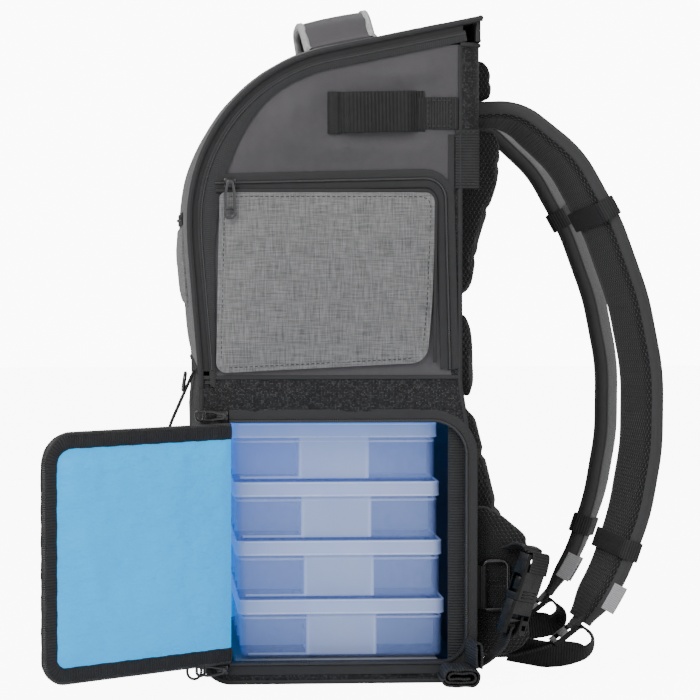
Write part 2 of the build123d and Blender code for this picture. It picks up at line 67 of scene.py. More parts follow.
# Places shared by several pieces, in millimetres: +Y is the wearer's side, +Z is up.
EDGE_LINE = [(-102.0, 238.0), (-102.0, 245.0), (-110.5, 350.0), (-110.5, 474.5), (104.0, 519.0), (119.0, 522.1)]
EDGE_RADII = [-300.0, 300.0, 137.0, 0.0]
DOOR_Y = (-80.0, 106.0)
DOOR_Z = (17.5, 205.5)
DOOR_RADII = (20.0, 26.0)
DOOR_HINGE = Vector((151.5, -80.0, 0.0)) * MM
DOOR_OPEN_DEGREES = -140
DOOR_TURN = (
    Matrix.Translation(DOOR_HINGE)
    @ Matrix.Rotation(math.radians(DOOR_OPEN_DEGREES), 4, "Z")
    @ Matrix.Translation(-DOOR_HINGE)
)
STRAP_X = 91.0
STRAP_LINE = [
    (104.5, 447), (150, 447), (193, 410), (222, 358), (243, 300), (254.5, 241), (254, 182), (245, 130),
    (228, 80), (205, 42)
]
STRAP_RADII = [40, 90, 150, 180, 180, 180, 180, 180]
TOP_SLOPE = math.atan2(44.5, 214.5)
BOX_COUNT = 4

# The stage: how bright the floor and background look to the camera alone, and where the camera stands, in metres.
FLOOR_GLOW = 9.0
SKY_GLOW = 10.0
FLOOR_HALF_SIZE = 6.0
CAMERA_PLACE = (2.49239, -0.14809, 0.34385)
CAMERA_AIM = (0.0, 0.0262, 0.2566)
CAMERA_LENS = 154.7
LIGHT_AIM = (0.0, 0.0, 0.25)


# ---- Settings ----
class BackpackSizes(bpy.types.PropertyGroup):
    """Sizes of threads, folds and padding."""

    coarse_thread: bpy.props.FloatProperty(
        name="Coarse thread", description="Width of a yarn in the coarse basket weave", default=0.0012,
        unit="LENGTH"
    )
    fine_thread: bpy.props.FloatProperty(
        name="Fine thread", description="Width of a yarn in the light pocket cloth", default=0.0009,
        unit="LENGTH"
    )
    rib_pitch: bpy.props.FloatProperty(
        name="Webbing rib", description="Distance between the ribs of the webbing", default=0.0022,
        unit="LENGTH"
    )
    mesh_pitch: bpy.props.FloatProperty(
        name="Mesh hole pitch", description="Distance between the holes in the spacer mesh", default=0.0034,
        unit="LENGTH"
    )
    fold_depth: bpy.props.FloatProperty(
        name="Fold depth", description="How deep the soft folds in the side cloth are", default=0.0036,
        unit="LENGTH"
    )
    pad_swell: bpy.props.FloatProperty(
        name="Pad swell", description="The most that a pad's surface moves when it is filled", default=0.0045,
        unit="LENGTH"
    )
    pad_pressure: bpy.props.FloatProperty(name="Pad pressure", description="Pressure that fills the pads", default=4.0)


class BackpackColours(bpy.types.PropertyGroup):
    """Colours of the main cloths and plastics."""

    coarse: bpy.props.FloatVectorProperty(
        name="Coarse cloth", description="Lower body and back", subtype="COLOR", size=3, min=0, max=1,
        default=(0.011, 0.011, 0.012)
    )
    nylon: bpy.props.FloatVectorProperty(
        name="Smooth nylon", description="Upper sides and lid", subtype="COLOR", size=3, min=0, max=1,
        default=(0.074, 0.069, 0.076)
    )
    pocket: bpy.props.FloatVectorProperty(
        name="Pocket cloth", description="Light two-tone cloth", subtype="COLOR", size=3, min=0, max=1,
        default=(0.235, 0.235, 0.238)
    )
    tape: bpy.props.FloatVectorProperty(
        name="Zipper tape", description="Twill tape beside the zippers", subtype="COLOR", size=3, min=0,
        max=1, default=(0.034, 0.034, 0.036)
    )
    webbing: bpy.props.FloatVectorProperty(
        name="Webbing", description="Belts, bands and loops", subtype="COLOR", size=3, min=0, max=1,
        default=(0.010, 0.010, 0.011)
    )
    lining: bpy.props.FloatVectorProperty(
        name="Lining", description="Satin lining", subtype="COLOR", size=3, min=0, max=1,
        default=(0.002, 0.46, 1.0)
    )
    box: bpy.props.FloatVectorProperty(
        name="Tackle boxes", description="Clear plastic tint", subtype="COLOR", size=3, min=0, max=1,
        default=(0.26, 0.40, 0.92)
    )
    plastic: bpy.props.FloatVectorProperty(
        name="Hardware", description="Buckle, adjusters and sliders", subtype="COLOR", size=3, min=0, max=1,
        default=(0.004, 0.004, 0.0045)
    )


class BackpackStage(bpy.types.PropertyGroup):
    """Floor and light."""

    floor: bpy.props.FloatVectorProperty(
        name="Floor", description="Floor colour", subtype="COLOR", size=3, min=0, max=1,
        default=(0.86, 0.86, 0.87)
    )
    sky: bpy.props.FloatProperty(
        name="Room light", description="Strength of the even light from all round", default=0.5
    )
    key: bpy.props.FloatProperty(
        name="Key light", description="Power of the main soft light", default=30.0, subtype="POWER"
    )


def sizes():
    return bpy.context.scene.backpack_sizes


def colours():
    return bpy.context.scene.backpack_colours


# ---- Shader building ----
class Graph:
    """Short ways to add and join the nodes of one tree."""

    def __init__(self, tree):
        self.tree = tree

    def put(self, value, socket):
        if isinstance(value, bpy.types.NodeSocket):
            self.tree.links.new(value, socket)
        elif value is not None:
            if socket.type == "RGBA" and len(value) == 3:
                value = (*value, 1.0)
            socket.default_value = value

    def node(self, kind, inputs=None, **settings):
        made = self.tree.nodes.new(kind)
        for key, value in settings.items():
            setattr(made, key, value)
        for key, value in (inputs or {}).items():
            self.put(value, made.inputs[key])
        return made

    def math(self, operation, a, b=None, clamp=False):
        return self.node(
            "ShaderNodeMath", {0: a, 1: b} if b is not None else {0: a}, operation=operation, use_clamp=clamp
        ).outputs[0]

    def mix(self, share, a, b, blend="MIX"):
        return self.node("ShaderNodeMix", {0: share, 6: a, 7: b}, data_type="RGBA", blend_type=blend).outputs[2]

    def noise(self, vector, scale, detail=3.0, roughness=0.55):
        return self.node(
            "ShaderNodeTexNoise", {"Vector": vector, "Scale": scale, "Detail": detail, "Roughness": roughness}
        ).outputs[0]

    def stretch(self, vector, scale):
        return self.node("ShaderNodeMapping", {"Vector": vector, "Scale": scale}).outputs[0]

    def span(self, value, low, high, out_low, out_high):
        return self.node("ShaderNodeMapRange", {0: value, 1: low, 2: high, 3: out_low, 4: out_high}).outputs[0]

    def parts(self, vector):
        split = self.node("ShaderNodeSeparateXYZ", {0: vector})
        return split.outputs[0], split.outputs[1], split.outputs[2]


def node_group(name, inputs, outputs, build):
    """A shader group with named sockets, built once."""
    tree = bpy.data.node_groups.get(name)
    if tree:
        return tree
    tree = bpy.data.node_groups.new(name, "ShaderNodeTree")
    for socket, kind in inputs:
        tree.interface.new_socket(socket, in_out="INPUT", socket_type=kind)
    for socket, kind in outputs:
        tree.interface.new_socket(socket, in_out="OUTPUT", socket_type=kind)
    graph = Graph(tree)
    entry = graph.node("NodeGroupInput")
    leave = graph.node("NodeGroupOutput")
    made = build(graph, *[entry.outputs[socket] for socket, _ in inputs])
    for (socket, _), value in zip(outputs, made):
        graph.put(value, leave.inputs[socket])
    return tree


VECTOR, NUMBER, COLOUR = "NodeSocketVector", "NodeSocketFloat", "NodeSocketColor"


def basket_weave():
    """Over-and-under yarns, with a random lightness for each crossing, used for light flecks and for a painted glint.
    """
    def build(g, vector, thread):
        x, y, _ = g.parts(vector)
        u, v = g.math("DIVIDE", x, thread), g.math("DIVIDE", y, thread)
        wave_u, wave_v = (g.math("SINE", g.math("MULTIPLY", part, math.pi)) for part in (u, v))
        over = g.math("GREATER_THAN", g.math("MULTIPLY", wave_u, wave_v), 0.0)
        under = g.math("SUBTRACT", 1.0, over)
        height = g.math("ADD", g.math("MULTIPLY", over, g.math("ABSOLUTE", wave_v)),
                        g.math("MULTIPLY", under, g.math("ABSOLUTE", wave_u)))
        cell = g.node("ShaderNodeCombineXYZ", {0: g.math("FLOOR", u), 1: g.math("FLOOR", v)}).outputs[0]
        fleck_and_glint = g.node("ShaderNodeTexWhiteNoise", {"Vector": cell}, noise_dimensions="3D").outputs[0]
        return height, fleck_and_glint
    return node_group(
        "Basket weave", [("Vector", VECTOR), ("Thread", NUMBER)], [("Height", NUMBER), ("Fleck and glint", NUMBER)],
        build
    )


def woven_ribs():
    """Rounded ribs across a tape, crossed by fine yarns."""
    def build(g, vector, pitch):
        x, y, _ = g.parts(vector)
        rib = g.math("ABSOLUTE", g.math("SINE", g.math("MULTIPLY", g.math("DIVIDE", y, pitch), math.pi)))
        yarn = g.math("ABSOLUTE", g.math("SINE", g.math("MULTIPLY", g.math("DIVIDE", x, pitch), math.pi * 1.7)))
        return (g.math("ADD", g.math("MULTIPLY", rib, 0.75), g.math("MULTIPLY", yarn, 0.25)),)
    return node_group("Woven ribs", [("Vector", VECTOR), ("Pitch", NUMBER)], [("Height", NUMBER)], build)


def twill_lines():
    """Fine diagonal ridges."""
    def build(g, vector, pitch):
        x, y, _ = g.parts(vector)
        along = g.math("DIVIDE", g.math("ADD", x, y), pitch)
        return (g.math("ABSOLUTE", g.math("SINE", g.math("MULTIPLY", along, math.pi))),)
    return node_group("Twill lines", [("Vector", VECTOR), ("Pitch", NUMBER)], [("Height", NUMBER)], build)


def mesh_holes():
    """Staggered round holes of a spacer mesh, with raised yarn between them."""
    def build(g, vector, pitch):
        x, y, _ = g.parts(vector)
        row = g.math("DIVIDE", y, g.math("MULTIPLY", pitch, 0.866))
        shift = g.math("MULTIPLY", g.math("MODULO", g.math("FLOOR", row), 2.0), 0.5)
        across = g.math("ADD", g.math("DIVIDE", x, pitch), shift)
        dx = g.math("SUBTRACT", g.math("FRACT", across), 0.5)
        dy = g.math("MULTIPLY", g.math("SUBTRACT", g.math("FRACT", row), 0.5), 0.866)
        far = g.math("SQRT", g.math("ADD", g.math("MULTIPLY", dx, dx), g.math("MULTIPLY", dy, dy)))
        hole = g.span(far, 0.18, 0.32, 1.0, 0.0)
        return g.math("SUBTRACT", 1.0, hole), hole
    return node_group(
        "Mesh holes", [("Vector", VECTOR), ("Pitch", NUMBER)], [("Height", NUMBER), ("Hole", NUMBER)], build
    )


def cloth_tone():
    """Uneven dye, rubbed high spots and a little dust."""
    def build(g, vector, colour, amount):
        broad = g.span(g.noise(vector, 9.0, 4.0), 0.3, 0.7, 0.0, 1.0)
        small = g.span(g.noise(vector, 160.0, 2.0), 0.35, 0.65, 0.0, 1.0)
        shade = g.mix(g.math("MULTIPLY", broad, amount), colour, g.mix(0.45, colour, (0.0, 0.0, 0.0)))
        dust = g.math("MULTIPLY", small, g.math("MULTIPLY", amount, 0.25))
        return g.mix(dust, shade, g.mix(0.12, colour, (0.5, 0.5, 0.51))), g.span(small, 0.0, 1.0, -0.05, 0.05)
    return node_group("Cloth tone", [("Vector", VECTOR), ("Colour", COLOUR), ("Amount", NUMBER)],
                      [("Colour", COLOUR), ("Roughness shift", NUMBER)], build)


class Finish(Graph):
    """One material: its tree, its shader and the usual inputs."""

    def __init__(self, name, **constants):
        self.material = bpy.data.materials.new(name)
        self.material.use_nodes = True
        super().__init__(self.material.node_tree)
        self.shader = self.tree.nodes["Principled BSDF"]
        for socket, value in constants.items():
            self.put(value, self.shader.inputs[socket.replace("_", " ")])

    def uv(self):
        return self.node("ShaderNodeUVMap", uv_map="cloth").outputs[0]

    def place(self):
        return self.node("ShaderNodeTexCoord").outputs["Object"]

    def group(self, tree, inputs):
        made = self.tree.nodes.new("ShaderNodeGroup")
        made.node_tree = tree
        for key, value in inputs.items():
            self.put(value, made.inputs[key])
        return made.outputs

    def finish(self, colour, roughness, height=None, depth=0.0005, strength=0.7, tone=0.5):
        toned = self.group(cloth_tone(), {"Vector": self.place(), "Colour": colour, "Amount": tone})
        self.put(toned["Colour"], self.shader.inputs["Base Color"])
        rough = self.math("ADD", toned["Roughness shift"], roughness, clamp=True)
        self.put(rough, self.shader.inputs["Roughness"])
        if height is not None:
            bump = self.node("ShaderNodeBump", {"Strength": strength, "Distance": depth, "Height": height})
            self.put(bump.outputs[0], self.shader.inputs["Normal"])
        return self.material


def coarse_cloth():
    f = Finish("coarse basket weave", Specular_IOR_Level=0.35)
    weave = f.group(basket_weave(), {"Vector": f.uv(), "Thread": sizes().coarse_thread})
    # Light yarn flecks kept to the crowns of the raised yarns: partly the yarn's own flecks, partly a painted glint
    # where the yarn bulges toward the light.
    light = f.math("MULTIPLY", f.math("POWER", weave["Fleck and glint"], 3.0), weave["Height"])
    colour = f.mix(light, colours().coarse, (0.085, 0.085, 0.09))
    return f.finish(colour, f.span(weave["Height"], 0, 1, 0.75, 0.5), weave["Height"], 0.0006, 0.9)


def smooth_nylon():
    f = Finish("smooth coated nylon", Sheen_Weight=0.15, Sheen_Roughness=0.4, Specular_IOR_Level=0.4)
    weave = f.group(basket_weave(), {"Vector": f.uv(), "Thread": 0.0005})
    grain = f.noise(f.uv(), 900.0, 2.0)
    crease = f.noise(f.stretch(f.uv(), (24.0, 9.0, 1.0)), 1.0, 2.0, 0.5)
    colour = f.mix(f.math("MULTIPLY", grain, 0.25), colours().nylon, (0.105, 0.1, 0.105))
    height = f.math("ADD", f.math("MULTIPLY", weave["Height"], 0.015), crease)
    return f.finish(colour, 0.46, height, 0.006, 0.75, 0.4)


def pocket_cloth():
    f = Finish("light two-tone weave", Sheen_Weight=0.1)
    weave = f.group(basket_weave(), {"Vector": f.uv(), "Thread": sizes().fine_thread})
    across = f.noise(f.stretch(f.uv(), (60.0, 900.0, 1.0)), 1.0, 3.0, 0.7)
    upward = f.noise(f.stretch(f.uv(), (900.0, 60.0, 1.0)), 1.0, 3.0, 0.7)
    streak = f.span(f.math("ADD", across, upward), 0.75, 1.25, 0.0, 1.0)
    dark = f.mix(0.62, colours().pocket, (0.02, 0.02, 0.022))
    light = f.mix(0.2, colours().pocket, (0.7, 0.7, 0.7))
    colour = f.mix(streak, dark, light)
    # Painted shade: the hollows between the raised yarns are darkened toward the dark yarn colour.
    colour = f.mix(f.math("MULTIPLY", f.math("SUBTRACT", 1.0, weave["Height"]), 0.35), colour, dark)
    return f.finish(colour, 0.8, weave["Height"], 0.0003, 0.7, 0.25)


def zipper_tape():
    f = Finish("twill zipper tape")
    lines = f.group(twill_lines(), {"Vector": f.uv(), "Pitch": 0.0016})
    # Painted shade: the grooves between the twill ridges are darkened, and the ridges keep the tape colour.
    colour = f.mix(lines["Height"], f.mix(0.5, colours().tape, (0, 0, 0)), colours().tape)
    return f.finish(colour, 0.8, lines["Height"], 0.0003, 0.8)


def ribbed_webbing():
    f = Finish("ribbed webbing", Specular_IOR_Level=0.35)
    ribs = f.group(woven_ribs(), {"Vector": f.uv(), "Pitch": sizes().rib_pitch})
    # Painted shade and highlight: the valleys between the ribs are darkened and the rib crests lightened.
    colour = f.mix(
        ribs["Height"], f.mix(0.6, colours().webbing, (0, 0, 0)),
        f.mix(0.06, colours().webbing, (0.3, 0.3, 0.31))
    )
    return f.finish(colour, 0.68, ribs["Height"], 0.0006, 0.9)


def zipper_teeth():
    f = Finish("black zipper coil", Specular_IOR_Level=0.6)
    ribs = f.group(woven_ribs(), {"Vector": f.uv(), "Pitch": 0.0016})
    # Painted shade and highlight: the coil's ribs are light on their crests and dark between them.
    colour = f.mix(ribs["Height"], (0.004, 0.004, 0.004), (0.03, 0.03, 0.032))
    return f.finish(colour, 0.38, ribs["Height"], 0.0004, 0.8, 0.2)


def satin_lining():
    # Painted light: the blue emission makes the lining glow as if lit through, though it is no lamp.
    f = Finish(
        "blue satin lining", Emission_Color=(0.0, 0.42, 1.0), Emission_Strength=0.6, Sheen_Weight=0.1,
        Sheen_Roughness=0.3, Specular_IOR_Level=0.25
    )
    weave = f.group(basket_weave(), {"Vector": f.uv(), "Thread": 0.0004})
    soft = f.span(f.noise(f.stretch(f.uv(), (6.0, 22.0, 1.0)), 1.0, 3.0), 0.35, 0.65, 0.0, 0.5)
    crease = f.noise(f.stretch(f.uv(), (25.0, 60.0, 1.0)), 1.0, 4.0, 0.6)
    colour = f.mix(soft, colours().lining, f.mix(0.4, colours().lining, (0.03, 0.62, 1.0)))
    height = f.math("ADD", f.math("MULTIPLY", weave["Height"], 0.01), crease)
    return f.finish(colour, 0.34, height, 0.009, 0.8, 0.25)


def spacer_mesh():
    f = Finish("spacer mesh", Specular_IOR_Level=0.3, Sheen_Weight=0.2)
    holes = f.group(mesh_holes(), {"Vector": f.uv(), "Pitch": sizes().mesh_pitch})
    yarn = f.noise(f.uv(), 1400.0, 2.0)
    # Painted shade: the holes, which the mesh's shape doesn't have, are coloured near-black as if shaded inside; the
    # yarn around them varies at random.
    colour = f.mix(holes["Hole"], f.mix(yarn, (0.004, 0.004, 0.005), (0.018, 0.018, 0.019)), (0.0005, 0.0005, 0.0005))
    return f.finish(colour, 0.85, holes["Height"], 0.0016, 1.0, 0.3)


def strap_cover():
    f = Finish("strap edge cloth", Sheen_Weight=0.15)
    weave = f.group(basket_weave(), {"Vector": f.uv(), "Thread": 0.0007})
    # Painted shade: the gaps between the raised yarns are darker and the yarn crowns lighter.
    colour = f.mix(weave["Height"], (0.018, 0.018, 0.019), (0.036, 0.0355, 0.037))
    return f.finish(colour, 0.6, weave["Height"], 0.0002, 0.5, 0.4)


def light_tape():
    f = Finish("light grey tape")
    ribs = f.group(woven_ribs(), {"Vector": f.uv(), "Pitch": 0.0016})
    # Painted shade: the valleys between the ribs are darker grey and the rib crests lighter.
    colour = f.mix(ribs["Height"], (0.28, 0.28, 0.29), (0.52, 0.52, 0.53))
    return f.finish(colour, 0.7, ribs["Height"], 0.0004, 0.7, 0.3)


def fleece_piping():
    f = Finish("pale piping", Sheen_Weight=0.3)
    fuzz = f.noise(f.place(), 900.0, 4.0, 0.7)
    colour = f.mix(f.span(fuzz, 0.3, 0.7, 0, 1), (0.36, 0.36, 0.37), (0.72, 0.72, 0.73))
    return f.finish(colour, 0.9, fuzz, 0.0012, 1.0, 0.3)


def closed_foam():
    f = Finish("closed-cell foam")
    cells = f.node("ShaderNodeTexVoronoi", {"Vector": f.place(), "Scale": 700.0}).outputs[0]
    colour = f.mix(cells, (0.30, 0.30, 0.31), (0.18, 0.18, 0.19))
    return f.finish(colour, 0.9, cells, 0.0004, 0.8)


def sheet_board():
    f = Finish("sheet stiffener")
    grain = f.noise(f.place(), 300.0, 4.0)
    return f.finish(f.mix(grain, (0.02, 0.02, 0.02), (0.06, 0.06, 0.062)), 0.55, grain, 0.0002, 0.5)


def clear_plastic():
    f = Finish("clear box plastic", Alpha=0.30, Specular_IOR_Level=0.6, Coat_Weight=0.15)
    haze = f.noise(f.place(), 14.0, 3.0)
    scuff = f.noise(f.stretch(f.place(), (40.0, 260.0, 260.0)), 1.0, 3.0)
    colour = f.mix(f.math("MULTIPLY", haze, 0.5), colours().box, (0.50, 0.62, 1.0))
    return f.finish(colour, f.span(scuff, 0.3, 0.7, 0.16, 0.34), scuff, 0.0002, 0.3, 0.1)


def frosted_rim():
    # Painted light: the pale blue emission makes the rims and ribs glow, though they are no lamp.
    f = Finish(
        "box rims and ribs", Emission_Color=(0.45, 0.6, 1.0), Emission_Strength=0.12, Alpha=0.62,
        Specular_IOR_Level=0.6
    )
    haze = f.noise(f.place(), 60.0, 3.0)
    colour = f.mix(haze, (0.55, 0.66, 1.0), (0.85, 0.92, 1.0))
    return f.finish(colour, 0.28, haze, 0.0002, 0.3, 0.05)


def frosted_wall():
    # Painted light: the pale blue emission makes the frosted walls glow, though they are no lamp.
    f = Finish(
        "frosted box wall", Emission_Color=(0.45, 0.6, 1.0), Emission_Strength=0.12, Alpha=0.52,
        Specular_IOR_Level=0.5
    )
    haze = f.noise(f.place(), 30.0, 3.0)
    colour = f.mix(haze, (0.48, 0.60, 1.0), (0.66, 0.77, 1.0))
    return f.finish(colour, 0.36, haze, 0.0002, 0.3, 0.05)


def moulded_plastic():
    f = Finish("black moulded plastic", Specular_IOR_Level=0.22, Coat_Weight=0.06, Coat_Roughness=0.1)
    grain = f.noise(f.place(), 1500.0, 3.0)
    smear = f.noise(f.place(), 40.0, 2.0)
    return f.finish(
        f.mix(smear, colours().plastic, (0.008, 0.008, 0.009)), f.span(smear, 0.3, 0.7, 0.2, 0.34), grain,
        0.0001, 0.4, 0.3
    )


def black_enamel():
    f = Finish("black enamelled metal", Specular_IOR_Level=0.6, Coat_Weight=0.6, Coat_Roughness=0.12)
    smear = f.noise(f.place(), 120.0, 3.0)
    return f.finish(
        f.mix(smear, (0.006, 0.006, 0.007), (0.022, 0.022, 0.024)), f.span(smear, 0.3, 0.7, 0.16, 0.3), smear,
        0.0002, 0.3, 0.2
    )


def gunmetal():
    f = Finish("gunmetal pull", Metallic=0.7)
    smear = f.noise(f.place(), 150.0, 3.0)
    return f.finish(
        f.mix(smear, (0.05, 0.05, 0.053), (0.14, 0.14, 0.145)), f.span(smear, 0.3, 0.7, 0.28, 0.42), smear,
        0.0002, 0.3, 0.2
    )


def elastic_band():
    f = Finish("ribbed elastic")
    ribs = f.group(woven_ribs(), {"Vector": f.uv(), "Pitch": 0.0012})
    # Painted shade: the valleys between the elastic's ribs are darker and the crests lighter.
    colour = f.mix(ribs["Height"], (0.003, 0.003, 0.0035), (0.012, 0.012, 0.013))
    return f.finish(colour, 0.75, ribs["Height"], 0.0003, 0.4, 0.1)


def stitch_thread():
    f = Finish("stitching thread")
    twist = f.noise(f.place(), 2500.0, 2.0)
    return f.finish(f.mix(twist, (0.012, 0.012, 0.013), (0.06, 0.06, 0.062)), 0.7, twist, 0.0002, 0.5, 0.2)


FINISHES = {
    "coarse": coarse_cloth, "nylon": smooth_nylon, "pocket": pocket_cloth, "tape": zipper_tape,
    "webbing": ribbed_webbing, "teeth": zipper_teeth, "satin": satin_lining, "mesh": spacer_mesh,
    "cover": strap_cover, "light": light_tape, "piping": fleece_piping, "foam": closed_foam,
    "board": sheet_board, "clear": clear_plastic, "rim": frosted_rim, "frost": frosted_wall, "plastic": moulded_plastic,
    "enamel": black_enamel, "gunmetal": gunmetal, "elastic": elastic_band, "thread": stitch_thread,
}
made_finishes = {}


def finish_named(key):
    if key not in made_finishes:
        made_finishes[key] = FINISHES[key]()
    return made_finishes[key]


# ---- Lines and sections ----
def vec(x, y, z):
    return Vector((x, y, z)) * MM


def rounded(points, radii, step=4.0, close=False):
    """A bent line in two coordinates with a round corner at each inner point, in short even steps."""
    corners = [Vector(point) for point in points]
    count = len(corners)
    line = []
    for index, corner in enumerate(corners):
        if not close and index in (0, count - 1):
            line.append(corner)
            continue
        radius = abs(radii[index if close else index - 1])
        back = (corners[index - 1] - corner).normalized()
        ahead = (corners[(index + 1) % count] - corner).normalized()
        opening = back.angle(ahead)
        if radius < 0.05 or opening > math.pi - 0.005:
            line.append(corner)
            continue
        cut = radius / math.tan(opening / 2)
        start, end = corner + back * cut, corner + ahead * cut
        centre = corner + (back + ahead).normalized() * (radius / math.sin(opening / 2))
        first = math.atan2(start.y - centre.y, start.x - centre.x)
        turn = math.atan2(end.y - centre.y, end.x - centre.x) - first
        turn = (turn + math.pi) % (2 * math.pi) - math.pi
        parts = max(2, math.ceil(abs(turn) * radius / step))
        line += [centre + Vector((math.cos(first + turn * k / parts), math.sin(first + turn * k / parts))) * radius
                 for k in range(parts + 1)]
    ends = line + line[:1] if close else line
    dense = []
    for here, there in zip(ends, ends[1:]):
        parts = max(1, math.ceil((there - here).length / step))
        dense += [here.lerp(there, k / parts) for k in range(parts) if (there - here).length > 1e-6]
    return dense if close else dense + [line[-1]]


def inset_line(points, radii, inset):
    """The same bent line moved to its right-hand side."""
    corners = [Vector(point) for point in points]
    moved = []
    for index, corner in enumerate(corners):
        before = corner - corners[index - 1] if index else corners[1] - corner
        after = corners[index + 1] - corner if index < len(corners) - 1 else before
        one, two = before.normalized(), after.normalized()
        middle = Vector((one.y + two.y, -one.x - two.x)).normalized()
        moved.append(corner + middle * inset / max(0.2, middle.dot(Vector((one.y, -one.x)))))
    return moved, [radius - inset for radius in radii]


def at_x(line, x):
    """A line in (y, z) placed at one x."""
    return [vec(x, y, z) for y, z in line]


def flat_section(width, thickness, crown=0.0, parts=8):
    """A rounded flat section, in millimetres, a little fuller in its middle."""
    half, rise = width / 2, thickness / 2
    ring = rounded(
        [(-half, -rise), (half, -rise), (half, rise), (-half, rise)], [rise * 0.95] * 4,
        max(width / parts, 0.4), True
    )
    return [(a, b + math.copysign(crown * max(0.0, 1 - (a / half) ** 2), b)) for a, b in ring]


def round_section(radius, count=8):
    return [(
        radius * math.cos(2 * math.pi * k / count), radius * math.sin(2 * math.pi * k / count)
    ) for k in range(count)]


def sweep(bm, line, section, across=None, face=None, closed=False, twist=None, scale=None, lift=None, material=0):
    """Pull a section along a line. across fixes its width's direction, or face the way it looks."""
    uv = bm.loops.layers.uv.get("cloth") or bm.loops.layers.uv.new("cloth")
    laid = bm.faces.layers.int.get("laid") or bm.faces.layers.int.new("laid")
    rows, columns = (len(line) + 1 if closed else len(line)), len(section) + 1
    grid = bmesh.ops.create_grid(bm, x_segments=columns - 1, y_segments=rows - 1, size=1.0)["verts"]
    spots = {v: (round((v.co.x + 1) / 2 * (columns - 1)), round((v.co.y + 1) / 2 * (rows - 1))) for v in grid}
    frames, gone, last = [], 0.0, len(line) - 1
    for j in range(rows):
        here = line[j % len(line)]
        before = line[(j - 1) % len(line)] if closed else line[max(j - 1, 0)]
        after = line[(j + 1) % len(line)] if closed else line[min(j + 1, last)]
        along = (after - before).normalized()
        if face is not None:
            out = (Vector(face) - along * along.dot(Vector(face))).normalized()
            wide = out.cross(along)
        else:
            wide = (Vector(across) - along * along.dot(Vector(across))).normalized()
            out = along.cross(wide)
        if j:
            gone += (here - line[(j - 1) % len(line)]).length
        share = j / max(1, rows - 1)
        if twist:
            turn = Matrix.Rotation(math.radians(twist(share)), 3, along)
            wide, out = turn @ wide, turn @ out
        grow = scale(j, share) if scale else (1.0, 1.0)
        raise_by = lift(j, share) if lift else 0.0
        frames.append((here + out * raise_by * MM, wide * grow[0], out * grow[1], gone))
    rim = [0.0]
    for k in range(1, columns):
        rim.append(rim[-1] + (Vector(section[k % len(section)]) - Vector(section[k - 1])).length * MM)
    faces = {f for v in grid for f in v.link_faces}
    for f in faces:
        f[laid] = 1
        f.material_index = material
        for loop in f.loops:
            i, j = spots[loop.vert]
            loop[uv].uv = (rim[i], frames[j][3])
    for v, (i, j) in spots.items():
        a, b = section[i % len(section)]
        origin, wide, out, _ = frames[j]
        v.co = origin + wide * a * MM + out * b * MM
    bmesh.ops.remove_doubles(bm, verts=grid, dist=2e-6)
    if not closed:
        edges = {e for v in grid if v.is_valid for e in v.link_edges if len(e.link_faces) == 1}
        caps = bmesh.ops.holes_fill(bm, edges=list(edges), sides=0)["faces"]
        for f in caps:
            f.material_index = material
    return frames


def stitches(bm, line, face, length=2.6, gap=1.5, radius=0.35, material=0):
    """A row of raised stitches along a line."""
    total, place = 0.0, 0.0
    for here, there in zip(line, line[1:]):
        run = (there - here).length / MM
        while place < total + run:
            spot = here.lerp(there, (place - total) / run)
            along = (there - here).normalized()
            out = (Vector(face) - along * along.dot(Vector(face))).normalized()
            turn = Matrix((along, out, along.cross(out))).transposed().to_4x4()
            size = Matrix.Diagonal((length * MM, radius * 2 * MM, radius * 2.2 * MM, 1))
            made = bmesh.ops.create_cube(bm, size=1.0, matrix=Matrix.Translation(spot) @ turn @ size)["verts"]
            for f in {f for v in made for f in v.link_faces}:
                f.material_index = material
            place += length + gap
        total += run


# ---- Pieces ----
def lay_uv(bm):
    """Flat cloth coordinates in metres, from the side that each face looks to."""
    uv = bm.loops.layers.uv.get("cloth") or bm.loops.layers.uv.new("cloth")
    laid = bm.faces.layers.int.get("laid")
    for f in bm.faces:
        if laid and f[laid]:
            continue
        x, y, z = (abs(part) for part in f.normal)
        for loop in f.loops:
            co = loop.vert.co
            loop[uv].uv = (co.y, co.z) if x >= max(y, z) else (co.x, co.z) if y >= z else (co.x, co.y)


def piece(name, bm, finishes, body, replaces=(), sharp=40.0):
    """Turn a finished bmesh into a piece that rides on a body."""
    bmesh.ops.recalc_face_normals(bm, faces=bm.faces)
    bm.normal_update()
    lay_uv(bm)
    for f in bm.faces:
        f.smooth = True
    for e in bm.edges:
        e.smooth = len(e.link_faces) == 2 and e.calc_face_angle(0.0) < math.radians(sharp)
    mesh = bpy.data.meshes.new(name)
    bm.to_mesh(mesh)
    bm.free()
    for key in finishes:
        mesh.materials.append(finish_named(key))
    made = bpy.data.objects.new(name, mesh)
    bpy.context.scene.collection.objects.link(made)
    if body:
        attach(made, body)
    if replaces:
        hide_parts(*replaces)
    return made


def node_copy(*names):
    """A merged copy of CAD nodes, with flat faces joined up."""
    bm = bmesh.new()
    for name in names:
        bm.from_mesh(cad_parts[name].data)
    for layer in list(bm.loops.layers.uv):
        bm.loops.layers.uv.remove(layer)
    bmesh.ops.remove_doubles(bm, verts=bm.verts, dist=1e-6)
    bmesh.ops.dissolve_limit(bm, angle_limit=0.01, verts=bm.verts, edges=bm.edges)
    for f in bm.faces:
        f.material_index = 0
    return bm


def cut(bm, axis, step, low=None, high=None):
    """Even cuts across one axis, in millimetres."""
    values = [v.co[axis] for v in bm.verts]
    place = (min(values) if low is None else low * MM) + step * MM
    end = max(values) if high is None else high * MM
    side = Vector([1.0 if k == axis else 0.0 for k in range(3)])
    while place < end - step * MM * 0.4:
        bmesh.ops.bisect_plane(
            bm, geom=bm.verts[:] + bm.edges[:] + bm.faces[:], dist=1e-6, plane_co=side * place, plane_no=side
        )
        place += step * MM


